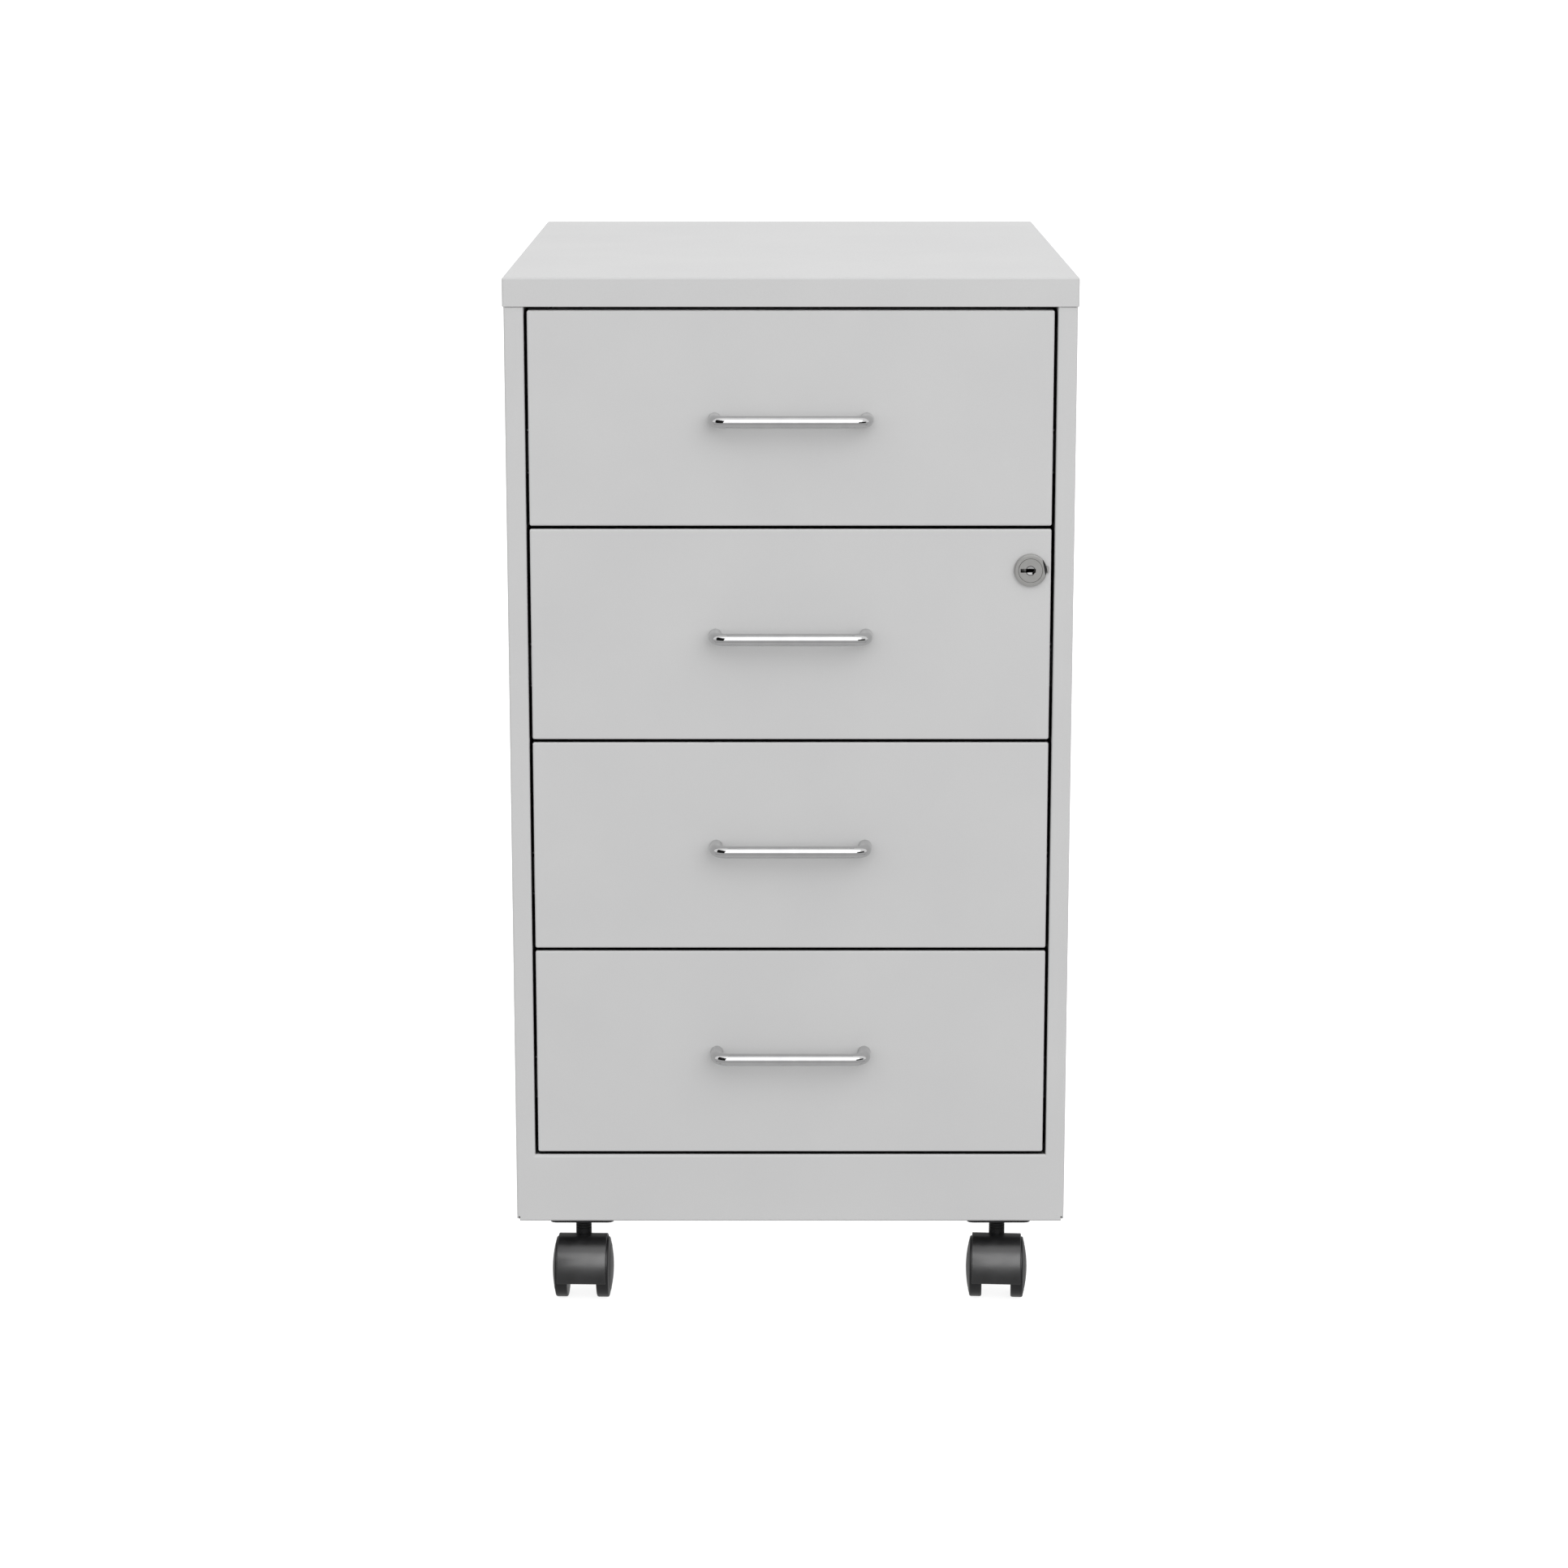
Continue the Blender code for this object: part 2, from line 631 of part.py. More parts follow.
def lock_housing_mesh():
    """Bevelled head and long barrel, with a notch and a locating tab on the right of the head."""
    head_back = -GAP
    face = head_back - LOCK_HEAD
    rim = face + LOCK_BEVEL
    seat = LOCK_RING_RADIUS
    bore = LOCK_CORE_RADIUS + GAP
    profile = [
        (seat, face),
        (LOCK_HEAD_RADIUS - LOCK_BEVEL, face),
        (LOCK_HEAD_RADIUS, rim),
        (LOCK_HEAD_RADIUS, head_back),
        (LOCK_BARREL_RADIUS, head_back),
        (LOCK_BARREL_RADIUS, LOCK_BARREL_END),
        (bore, LOCK_BARREL_END),
        (bore, SHEET),
        (seat, SHEET),
    ]
    body = turned(profile, WHEEL_STEPS, "Y", closed=True)
    tab_low = (LOCK_HEAD_RADIUS - LOCK_TAB_REACH, rim, -LOCK_TAB_HALF)
    tab = block(tab_low, (LOCK_HEAD_RADIUS + LOCK_TAB_REACH, head_back, LOCK_TAB_HALF))
    notch_low = (LOCK_HEAD_RADIUS - LOCK_NOTCH_DEPTH, face - LOCK_BEVEL, LOCK_NOTCH_LOW)
    notch = block(notch_low, (LOCK_HEAD_RADIUS, head_back - LOCK_NOTCH_FLOOR, LOCK_NOTCH_HIGH))
    return combined(body, unions=[tab], cuts=[notch])


def lock_plug_mesh():
    """Turning core: a broad face with a keyway, a round core and a square tail for the cam."""
    face = -2 * GAP - LOCK_HEAD
    face_radius = LOCK_RING_RADIUS - GAP
    shoulder = SHEET - GAP
    core_end = LOCK_BARREL_END + GAP / 2
    profile = [
        (0, face),
        (face_radius, face),
        (face_radius, shoulder),
        (LOCK_CORE_RADIUS, shoulder),
        (LOCK_CORE_RADIUS, core_end),
        (0, core_end),
    ]
    core = turned(profile, WHEEL_STEPS, "Y")
    half = LOCK_TAIL / 2
    tail = block((-half, core_end - SHEET, -half), (half, LOCK_TAIL_END, half))
    slot_low = (-KEYWAY_LEFT, face - SHEET, -KEYWAY_HEIGHT / 2)
    slot = block(slot_low, (KEYWAY_RIGHT, face + KEYWAY_DEPTH, KEYWAY_HEIGHT / 2))
    return combined(core, unions=[tail], cuts=[slot])


def lock_cam_mesh():
    """A flat latch that points up when the drawer is unlocked, with a square hole for the tail."""
    half = CAM_WIDTH / 2
    outline = arc((0, 0), half, 180, 360, CAM_STEPS) + arc((0, CAM_LENGTH - half), half, 0, 180, CAM_STEPS)
    blade = prism(outline, "Y", CAM_START, CAM_START + CAM_SHEET)
    hole_half = LOCK_TAIL / 2 + GAP
    hole = block((-hole_half, LOCK_BARREL_END, -hole_half), (hole_half, LOCK_TAIL_END, hole_half))
    return combined(blade, cuts=[hole])


def lock_nut_mesh():
    corner = NUT_FLATS / 2 / cos(pi / 6)
    hexagon = arc((0, 0), corner, 0, 300, 5)
    bore_radius = LOCK_BARREL_RADIUS + GAP + FLAT_EASE
    reach = NUT_START + 2 * NUT_HEIGHT
    bore = turned([(0, 0), (bore_radius, 0), (bore_radius, reach), (0, reach)], WHEEL_STEPS, "Y")
    return combined(prism(hexagon, "Y", NUT_START, NUT_START + NUT_HEIGHT), cuts=[bore])


def make_lock(finishes, drawer):
    """The cam lock of one drawer. The plug and the cam turn together on an empty on the lock's axis."""
    place = (LOCK_X, 0, LOCK_Z)
    nickel = finishes["satin_nickel"]
    new_object("lock_housing", lock_housing_mesh(), nickel, drawer, place)
    new_object("lock_nut", lock_nut_mesh(), finishes["zinc_plate"], drawer, place)
    axis = new_object("lock_axis", None, parent=drawer, location=place)
    new_object("lock_plug", lock_plug_mesh(), nickel, axis)
    new_object("lock_cam", lock_cam_mesh(), finishes["zinc_plate"], axis)


def hood_arc(radius, first, last, steps):
    """Arc about the axle, in (y, z) from the caster's own origin. Angle 0 faces forward and 90 up."""
    return arc((-AXLE_LEAD, WHEEL_RADIUS), radius, 180 - first, 180 - last, steps)


def hood_corner(first, last):
    """Chamfer between the straight stretches that leave the outer arc at two angles."""
    reach = HOOD_CORNER_SHARE * (last - first) / 2
    radius = HOOD_OUTER / cos(radians(reach))
    return hood_arc(radius, first + reach, last - reach, 1)


def caster_hood_mesh():
    """Shell over both wheels, with a flat top, the web and boss for the axle and the collar for the stem."""
    half_steps = HOOD_STEPS // 2
    outer = hood_arc(HOOD_OUTER, HOOD_FRONT_ANGLE, HOOD_FACET_ANGLE, half_steps)
    outer += hood_corner(HOOD_FACET_ANGLE, 90) + hood_corner(90, HOOD_TAIL_ANGLE)
    outer += hood_arc(HOOD_OUTER, HOOD_TAIL_ANGLE, HOOD_REAR_ANGLE, half_steps)
    inner = hood_arc(HOOD_INNER, HOOD_REAR_ANGLE, HOOD_FRONT_ANGLE, HOOD_STEPS)
    shell = prism(outer + inner, "X", -HOOD_HALF, HOOD_HALF, smooth=True)
    middle = (HOOD_INNER + HOOD_OUTER) / 2
    web_arch = hood_arc(middle, WEB_FRONT_ANGLE, WEB_REAR_ANGLE, WEB_STEPS)
    boss = hood_arc(BOSS_RADIUS, WEB_REAR_ANGLE, WEB_FRONT_ANGLE + 360, WEB_STEPS)
    web = prism(web_arch + boss, "X", -WEB_HALF, WEB_HALF)
    collar_top = CASTER_HEIGHT - GAP - PLATE_SHEET - RING_HEIGHT - GAP
    collar_foot = WHEEL_RADIUS + HOOD_INNER / 2
    collar = [(0, collar_foot), (COLLAR_RADIUS, collar_foot), (COLLAR_RADIUS, collar_top), (0, collar_top)]
    bore_radius = STEM_RADIUS + GAP
    bore_foot = STEM_BOTTOM - GAP
    bore_top = CASTER_HEIGHT
    stem_bore = [(0, bore_foot), (bore_radius, bore_foot), (bore_radius, bore_top), (0, bore_top)]
    axle_radius = AXLE_RADIUS + GAP
    axle_bore = [(0, -HOOD_HALF), (axle_radius, -HOOD_HALF), (axle_radius, HOOD_HALF), (0, HOOD_HALF)]
    axle_cut = moved(turned(axle_bore, ROUND_STEPS, "X"), (0, -AXLE_LEAD, WHEEL_RADIUS))
    unions = [web, turned(collar, ROUND_STEPS)]
    return combined(shell, unions=unions, cuts=[turned(stem_bore, ROUND_STEPS), axle_cut])


def caster_wheel_mesh(side):
    """One domed wheel with a blind bore for the axle. Its outer face looks along side * X."""
    radius = WHEEL_RADIUS / cos(pi / WHEEL_STEPS)
    bore = AXLE_RADIUS + GAP
    bore_end = AXLE_HALF + GAP
    dome = [(radius * share, WHEEL_OUTER - radius * drop) for share, drop in WHEEL_DOME]
    profile = dome + [
        (radius, WHEEL_INNER + WHEEL_EDGE),
        (radius - WHEEL_EDGE, WHEEL_INNER),
        (bore, WHEEL_INNER),
        (bore, bore_end),
        (0, bore_end),
    ]
    mesh = turned(profile, WHEEL_STEPS, "X")
    if side < 0:
        mesh.transform(Matrix.Rotation(pi, 4, "Z"))
    return mesh


def caster_plate_mesh():
    """Fixed top plate with rounded corners, rivet heads, a swivel ring and the stem the hood turns on."""
    half = PLATE_SIDE / 2
    inset = half - PLATE_CORNER
    outline = []
    for x, y, first in ((1, 1, 0), (-1, 1, 90), (-1, -1, 180), (1, -1, 270)):
        outline += arc((x * inset, y * inset), PLATE_CORNER, first, first + 90, 3)
    top = CASTER_HEIGHT - GAP
    underside = top - PLATE_SHEET
    middle = (top + underside) / 2
    plate = prism(outline, "Z", underside, top)
    ring_foot = underside - RING_HEIGHT
    stem = [
        (0, STEM_BOTTOM),
        (STEM_RADIUS, STEM_BOTTOM),
        (STEM_RADIUS, ring_foot),
        (RING_RADIUS, ring_foot),
        (RING_RADIUS, middle),
        (0, middle),
    ]
    rivet_foot = underside - RIVET_HEIGHT
    rivet = [
        (0, rivet_foot),
        (RIVET_FACE_RADIUS, rivet_foot),
        (RIVET_RADIUS, underside),
        (RIVET_RADIUS, middle),
        (0, middle),
    ]
    rivets = []
    for x in (-1, 1):
        for y in (-1, 1):
            head = turned(rivet, ROUND_STEPS)
            rivets.append(moved(head, (x * RIVET_SPACING / 2, y * RIVET_SPACING / 2, 0)))
    return combined(plate, unions=[turned(stem, ROUND_STEPS), *rivets])


def make_casters(finishes):
    """Four casters. Each turns on an empty on its swivel axis, and its wheels' origins are on the axle."""
    nylon = finishes["black_nylon"]
    plate = caster_plate_mesh()
    hood = caster_hood_mesh()
    wheels = {side: caster_wheel_mesh(side) for side in (-1, 1)}
    axle_profile = [(0, -AXLE_HALF), (AXLE_RADIUS, -AXLE_HALF), (AXLE_RADIUS, AXLE_HALF), (0, AXLE_HALF)]
    axle = turned(axle_profile, ROUND_STEPS, "X")
    centre = (0, -AXLE_LEAD, WHEEL_RADIUS)
    for where, yaw in CASTER_YAWS.items():
        x = CASTER_SPREAD if where.endswith("right") else -CASTER_SPREAD
        y = FRONT + CASTER_FRONT if where.startswith("front") else BACK - CASTER_REAR
        new_object(f"caster_plate_{where}", plate, finishes["black_zinc"], None, (x, y, 0))
        swivel = new_object(f"caster_swivel_{where}", None, location=(x, y, 0), yaw=yaw)
        new_object(f"caster_hood_{where}", hood, nylon, swivel)
        new_object(f"caster_axle_{where}", axle, finishes["zinc_plate"], swivel, centre)
        for side, word in ((-1, "left"), (1, "right")):
            new_object(f"caster_wheel_{where}_{word}", wheels[side], nylon, swivel, centre)


def main():
    clear_scene()
    finishes = make_finishes()
    make_case(finishes)
    drawers = make_drawers(finishes)
    make_lock(finishes, drawers[2])
    make_casters(finishes)


main()
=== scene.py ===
import json
from math import acos, atan2, cos, degrees, pi, radians, sin

import bmesh
import bpy
from mathutils import Matrix, Vector


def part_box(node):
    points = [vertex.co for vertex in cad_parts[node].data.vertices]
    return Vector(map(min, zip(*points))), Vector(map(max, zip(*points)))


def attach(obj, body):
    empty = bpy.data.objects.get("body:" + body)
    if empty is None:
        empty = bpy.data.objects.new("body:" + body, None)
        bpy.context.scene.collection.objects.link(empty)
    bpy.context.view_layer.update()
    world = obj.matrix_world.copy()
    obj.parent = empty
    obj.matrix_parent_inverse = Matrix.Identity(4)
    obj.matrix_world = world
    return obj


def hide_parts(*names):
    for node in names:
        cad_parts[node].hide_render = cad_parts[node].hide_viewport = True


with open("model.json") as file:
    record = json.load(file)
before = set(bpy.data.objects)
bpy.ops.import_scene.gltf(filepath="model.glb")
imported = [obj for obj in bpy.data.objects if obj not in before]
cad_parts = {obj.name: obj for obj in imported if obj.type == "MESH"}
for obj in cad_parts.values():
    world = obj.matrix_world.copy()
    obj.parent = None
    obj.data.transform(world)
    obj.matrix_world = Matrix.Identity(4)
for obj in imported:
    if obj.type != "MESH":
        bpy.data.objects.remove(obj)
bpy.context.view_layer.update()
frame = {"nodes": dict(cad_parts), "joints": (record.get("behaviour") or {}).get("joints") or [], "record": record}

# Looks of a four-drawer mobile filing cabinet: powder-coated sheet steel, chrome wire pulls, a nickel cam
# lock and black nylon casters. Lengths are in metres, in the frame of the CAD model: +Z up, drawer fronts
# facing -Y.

JOINTS = {joint["name"]: joint for joint in frame["joints"]}
DRAWERS = (1, 2, 3, 4)
CASTERS = ("front_left", "front_right", "rear_left", "rear_right")
SIDES = {"left": -1, "right": 1}
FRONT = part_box("face_frame")[0].y

# Point of the front that the lights aim at.
MIDDLE = Vector((0, FRONT, 0.40))
FLAG_DISTANCE = 2.5

# Camera.
CAMERA_DISTANCE = 2.30
CAMERA_HEIGHT = 0.8882
CAMERA_SIDE = -0.0042
CAMERA_TILT = 11.63
CAMERA_LENS = 84.25
CAMERA_SHIFT = -0.06

# Edges that turn by more than this many degrees are shaded as sharp.
SHARP_ANGLE = 32.0

# Finish of the CAD nodes: points closer than the weld distance are one, faces that turn by less than the
# flat angle are one, and edges that turn by more than the cut angle are rounded.
WELD_DISTANCE = 0.00001
FLAT_ANGLE = 0.5
CUT_ANGLE = 40.0
CUT_EDGE = 0.00015
COATED_EDGE = 0.00022

# Wire pulls.
PULL_BEND = 0.0080
PULL_SIDES = 32
PULL_ARC_STEPS = 14

# Lock. Depths are measured forward from the drawer's face.
LOCK_STEPS = 72
LOCK_HEAD_RADIUS = 0.0103
LOCK_FLAT_RADIUS = 0.0088
LOCK_FACE = 0.0028
LOCK_RIM = 0.0023
LOCK_RIM_STEPS = 7
LOCK_BACK = 0.0001
LOCK_BARREL_RADIUS = 0.0085
LOCK_BARREL_END = -0.0210
LOCK_CORE_RADIUS = 0.0063
LOCK_SOFT = 0.00015
TAB_HALF = 0.0020
TAB_REACH = 0.0013
TAB_RISE = 0.0003
TAB_FACE = 0.0014
NOTCH_WIDTH = 0.0016
NOTCH_LENGTH = 0.0120
NOTCH_TILT = 11.0
NOTCH_FLOOR = 0.0004
NOTCH_FILL = 0.0010
NOTCH_STEPS = 16
PLUG_RADIUS = 0.0076
PLUG_GAP = 0.00012
PLUG_BODY_RADIUS = 0.0060
PLUG_SHOULDER = -0.0005
PLUG_END = -0.0211
PLUG_TAIL_HALF = 0.0030
PLUG_TAIL_END = -0.0245
KEYHOLE_RADIUS = 0.0031
KEYHOLE_DEPTH = 0.0060
KEYHOLE_STEPS = 32
POST_RADIUS = 0.0027
POST_SINK = 0.00016
POST_DISH = 0.0008
POST_DISH_STEPS = 7
SLOT_LEFT = 0.0064
SLOT_RIGHT = 0.0033
SLOT_HALF = 0.0012

# Casters. Hood angles are measured about the axle: 0 faces forward and 90 up.
AXLE_RADIUS = 0.0028
AXLE_HALF = 0.0171
HOOD_INNER = 0.0207
HOOD_OUTER = 0.0219
HOOD_HALF = 0.0162
HOOD_FIRST = -13.0
HOOD_LAST = 150.0
HOOD_FACET = 47.0
HOOD_TAIL = 117.0
HOOD_SOFTNESS = 0.7
HOOD_CORNER_STEPS = 8
HOOD_STEPS = 48
HOOD_EDGE = 0.0005
HOOD_EDGE_ANGLE = 20.0
HOOD_EDGE_STEPS = 3
WEB_FIRST = 25.0
WEB_LAST = 140.0
WEB_STEPS = 32
WEB_HALF = 0.0085
BOSS_RADIUS = 0.0065
COLLAR_RADIUS = 0.0052
COLLAR_TOP = 0.0509
COLLAR_GROOVES = 3
COLLAR_PITCH = 0.0018
COLLAR_GROOVE = 0.0004
COLLAR_STEPS = 48
BORE_STEPS = 32
STEM_BORE_RADIUS = 0.0033
STEM_BORE_FOOT = 0.0382
WHEEL_INNER = 0.0096
WHEEL_OUTER = 0.0202
WHEEL_DROP = 0.0028
WHEEL_EDGE = 0.0012
WHEEL_EDGE_START = 72.0
WHEEL_EDGE_STEPS = 5
WHEEL_STEPS = 72
DOME_STEPS = 14
GROOVE_RADIUS = 0.0150
GROOVE_HALF = 0.0004
GROOVE_DEPTH = 0.0003

# Screws that hold the pulls, on the inner wall of each drawer.
INNER_WALL_SHEET = 0.0008
SCREW_HEAD_RADIUS = 0.0037
SCREW_HEAD_HEIGHT = 0.0022
SCREW_RIM_SHARE = 0.35
SCREW_CROWN_STEPS = 8
SCREW_STEPS = 32
SCREW_CROSS_HALF = 0.0020
SCREW_CROSS_WIDTH = 0.0005
SCREW_CROSS_DEPTH = 0.0011


def mesh_from(bm, name):
    """Turns a bmesh into a smooth-shaded mesh whose faces point out."""
    bmesh.ops.recalc_face_normals(bm, faces=bm.faces)
    mesh = bpy.data.meshes.new(name)
    bm.to_mesh(mesh)
    bm.free()
    mesh.shade_smooth()
    mesh.set_sharp_from_angle(angle=radians(SHARP_ANGLE))
    return mesh


def new_piece(name, mesh, material, body=None, place=None):
    """An object with one material. It rides on a CAD body, unless it belongs to the stage."""
    piece = bpy.data.objects.new(name, mesh)
    bpy.context.scene.collection.objects.link(piece)
    if place:
        piece.matrix_world = place
    mesh.materials.clear()
    mesh.materials.append(material)
    if body:
        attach(piece, body)
    return piece


def evaluated(thing):
    """The mesh of an object with its modifiers applied."""
    graph = bpy.context.evaluated_depsgraph_get()
    return bpy.data.meshes.new_from_object(thing.evaluated_get(graph))


def combined(mesh, unions=(), cuts=()):
    """The mesh with other meshes joined to it and cut from it."""
    base = bpy.data.objects.new("combine_base", mesh)
    bpy.context.scene.collection.objects.link(base)
    helpers = [base]
    for operation, tools in (("UNION", unions), ("DIFFERENCE", cuts)):
        for tool in tools:
            helper = bpy.data.objects.new("combine_tool", tool)
            bpy.context.scene.collection.objects.link(helper)
            helpers.append(helper)
            modifier = base.modifiers.new(operation.title(), "BOOLEAN")
            modifier.operation = operation
            modifier.solver = "EXACT"
            modifier.object = helper
    result = evaluated(base)
    for helper in helpers:
        bpy.data.objects.remove(helper, do_unlink=True)
    result.shade_smooth()
    result.set_sharp_from_angle(angle=radians(SHARP_ANGLE))
    return result


def turned(profile, steps, axis, closed=False):
    """Turns (radius, height) points about an axis. An open profile starts and ends on the axis."""
    bm = bmesh.new()
    points = [bm.verts.new((radius, 0, height)) for radius, height in profile]
    pairs = list(zip(points, points[1:]))
    if closed:
        pairs.append((points[-1], points[0]))
    edges = [bm.edges.new(pair) for pair in pairs]
    bmesh.ops.spin(
        bm,
        geom=points + edges,
        cent=(0, 0, 0),
        axis=(0, 0, 1),
        angle=2 * pi,
        steps=steps,
        use_merge=True,
        use_duplicate=False,
    )
    bmesh.ops.remove_doubles(bm, verts=bm.verts, dist=1e-6)
    turns = {"X": Matrix.Rotation(pi / 2, 4, "Y"), "-Y": Matrix.Rotation(pi / 2, 4, "X"), "Z": Matrix()}
    bmesh.ops.transform(bm, matrix=turns[axis], verts=bm.verts)
    return mesh_from(bm, "turned")


def block(low, high):
    """A solid box between two corners."""
    bm = bmesh.new()
    size = Vector(high) - Vector(low)
    centre = (Vector(high) + Vector(low)) / 2
    bmesh.ops.create_cube(bm, size=1.0, matrix=Matrix.Translation(centre) @ Matrix.Diagonal((*size, 1.0)))
    return mesh_from(bm, "block")


def arc(centre, radius, first, last, steps):
    """Points on an arc, from one angle to another in degrees."""
    angles = [radians(first + (last - first) * step / steps) for step in range(steps + 1)]
    return [(centre[0] + radius * cos(angle), centre[1] + radius * sin(angle)) for angle in angles]


def prism_x(outline, low, high):
    """Extrudes a closed (y, z) outline along X."""
    bm = bmesh.new()
    face = bm.faces.new([bm.verts.new((low, y, z)) for y, z in outline])
    grown = bmesh.ops.extrude_face_region(bm, geom=[face])
    moved = [item for item in grown["geom"] if isinstance(item, bmesh.types.BMVert)]
    bmesh.ops.translate(bm, vec=(high - low, 0, 0), verts=moved)
    return mesh_from(bm, "prism")


def rod(path, radius, sides):
    """A round bar along (x, y) points at z = 0, with flat ends."""
    bm = bmesh.new()
    rings = []
    for index, (x, y) in enumerate(path):
        before = Vector(path[max(index - 1, 0)])
        after = Vector(path[min(index + 1, len(path) - 1)])
        along = (after - before).normalized()
        across = Vector((-along.y, along.x, 0))
        ring = []
        for step in range(sides):
            angle = 2 * pi * step / sides
            outward = cos(angle) * across + Vector((0, 0, sin(angle)))
            ring.append(bm.verts.new(Vector((x, y, 0)) + radius * outward))
        rings.append(ring)
    for ring, following in zip(rings, rings[1:]):
        for step in range(sides):
            turn = (step + 1) % sides
            bm.faces.new((ring[step], ring[turn], following[turn], following[step]))
    bm.faces.new(rings[0])
    bm.faces.new(rings[-1])
    return mesh_from(bm, "rod")


# Materials.


def node_material(name):
    """An empty node material with a Principled shader, and the Object texture coordinates for its nodes."""
    material = bpy.data.materials.new(name)
    material.use_nodes = True
    tree = material.node_tree
    shader = tree.nodes["Principled BSDF"]
    coordinates = tree.nodes.new("ShaderNodeTexCoord").outputs["Object"]
    return material, tree, shader, coordinates


def noise(tree, coordinates, scale, detail=2.0, roughness=0.5, stretch=None):
    """Noise with features of about 1 / scale metres. stretch scales the coordinates along each axis first."""
    if stretch:
        mapping = tree.nodes.new("ShaderNodeMapping")
        mapping.inputs["Scale"].default_value = stretch
        tree.links.new(coordinates, mapping.inputs["Vector"])
        coordinates = mapping.outputs["Vector"]
    node = tree.nodes.new("ShaderNodeTexNoise")
    node.inputs["Scale"].default_value = scale
    node.inputs["Detail"].default_value = detail
    node.inputs["Roughness"].default_value = roughness
    tree.links.new(coordinates, node.inputs["Vector"])
    return node.outputs["Fac"]


def ranged(tree, value, low, high, start=0.3, end=0.7):
    """Maps noise from start..end to low..high."""
    node = tree.nodes.new("ShaderNodeMapRange")
    node.inputs["From Min"].default_value = start
    node.inputs["From Max"].default_value = end
    node.inputs["To Min"].default_value = low
    node.inputs["To Max"].default_value = high
    tree.links.new(value, node.inputs["Value"])
    return node.outputs["Result"]


def tinted(tree, value, dark, light, start=0.3, end=0.7):
    """A colour between dark and light that follows a noise value."""
    ramp = tree.nodes.new("ShaderNodeValToRGB")
    ramp.color_ramp.elements[0].position = start
    ramp.color_ramp.elements[1].position = end
    ramp.color_ramp.elements[0].color = (*dark, 1)
    ramp.color_ramp.elements[1].color = (*light, 1)
    tree.links.new(value, ramp.inputs["Fac"])
    return ramp.outputs["Color"]


def bump(tree, height, strength, distance, under=None):
    """A normal from heights up to distance metres, on top of the normal under it."""
    node = tree.nodes.new("ShaderNodeBump")
    node.inputs["Strength"].default_value = strength
    node.inputs["Distance"].default_value = distance
    tree.links.new(height, node.inputs["Height"])
    if under:
        tree.links.new(under, node.inputs["Normal"])
    return node.outputs["Normal"]


def painted_crevice_shade(tree, colour, reach, dark):
    """The colour with painted shade: near dark in crevices narrower than about reach, where an occlusion test
    finds other surfaces close by.
    """
    crevice = tree.nodes.new("ShaderNodeAmbientOcclusion")
    crevice.samples = 8
    crevice.inputs["Distance"].default_value = reach
    mix = tree.nodes.new("ShaderNodeMix")
    mix.data_type = "RGBA"
    mix.inputs["A"].default_value = (*dark, 1)
    tree.links.new(ranged(tree, crevice.outputs["AO"], 0.0, 1.0, 0.25, 0.60), mix.inputs["Factor"])
    tree.links.new(colour, mix.inputs["B"])
    return mix.outputs["Result"]


def powder_coat():
    """Light grey satin powder coat: fine orange peel over slow waves, with faint mottling."""
    material, tree, shader, coordinates = node_material("powder_coat_grey")
    mottle = noise(tree, coordinates, 14, 4)
    grain = noise(tree, coordinates, 1600, 2, 0.6)
    peel = noise(tree, coordinates, 650, 3, 0.55)
    waves = noise(tree, coordinates, 55, 2)
    mix = tree.nodes.new("ShaderNodeMix")
    mix.data_type = "RGBA"
    mix.blend_type = "MULTIPLY"
    mix.inputs["Factor"].default_value = 1.0
    tree.links.new(tinted(tree, mottle, (0.586, 0.586, 0.588), (0.605, 0.605, 0.605)), mix.inputs["A"])
    tree.links.new(tinted(tree, grain, (0.965, 0.965, 0.965), (1.0, 1.0, 1.0)), mix.inputs["B"])
    # Painted shade: the coat goes near black in gaps and crevices narrower than 8 mm, so the drawer gaps read
    # dark.
    colour = painted_crevice_shade(tree, mix.outputs["Result"], 0.008, (0.01, 0.01, 0.01))
    tree.links.new(colour, shader.inputs["Base Color"])
    tree.links.new(ranged(tree, peel, 0.38, 0.50), shader.inputs["Roughness"])
    relief = bump(tree, waves, 0.10, 0.0004)
    relief = bump(tree, peel, 0.16, 0.00008, relief)
    tree.links.new(relief, shader.inputs["Normal"])
    shader.inputs["Specular IOR Level"].default_value = 0.45
    return material


def chrome():
    """Polished chrome plate with a trace of haze and hairline scratches along the bar."""
    material, tree, shader, coordinates = node_material("chrome_plate")
    haze = noise(tree, coordinates, 90, 4)
    scratches = noise(tree, coordinates, 700, 2, 0.5, (0.06, 1, 1))
    tree.links.new(tinted(tree, haze, (0.54, 0.54, 0.545), (0.59, 0.59, 0.59)), shader.inputs["Base Color"])
    tree.links.new(ranged(tree, haze, 0.05, 0.10), shader.inputs["Roughness"])
    tree.links.new(bump(tree, scratches, 0.05, 0.00002), shader.inputs["Normal"])
    shader.inputs["Metallic"].default_value = 1.0
    return material


def satin_nickel():
    """Cast and tumbled nickel plate: soft grain and a slightly warm grey."""
    material, tree, shader, coordinates = node_material("satin_nickel")
    grain = noise(tree, coordinates, 2600, 3, 0.6)
    patches = noise(tree, coordinates, 260, 3)
    colour = tinted(tree, patches, (0.52, 0.517, 0.505), (0.57, 0.567, 0.555))
    # Painted shade: the nickel goes dark in crevices narrower than 3 mm, such as the notch by the tab.
    tree.links.new(painted_crevice_shade(tree, colour, 0.003, (0.02, 0.02, 0.02)), shader.inputs["Base Color"])
    tree.links.new(ranged(tree, patches, 0.46, 0.56), shader.inputs["Roughness"])
    tree.links.new(bump(tree, grain, 0.25, 0.00003), shader.inputs["Normal"])
    shader.inputs["Metallic"].default_value = 1.0
    return material


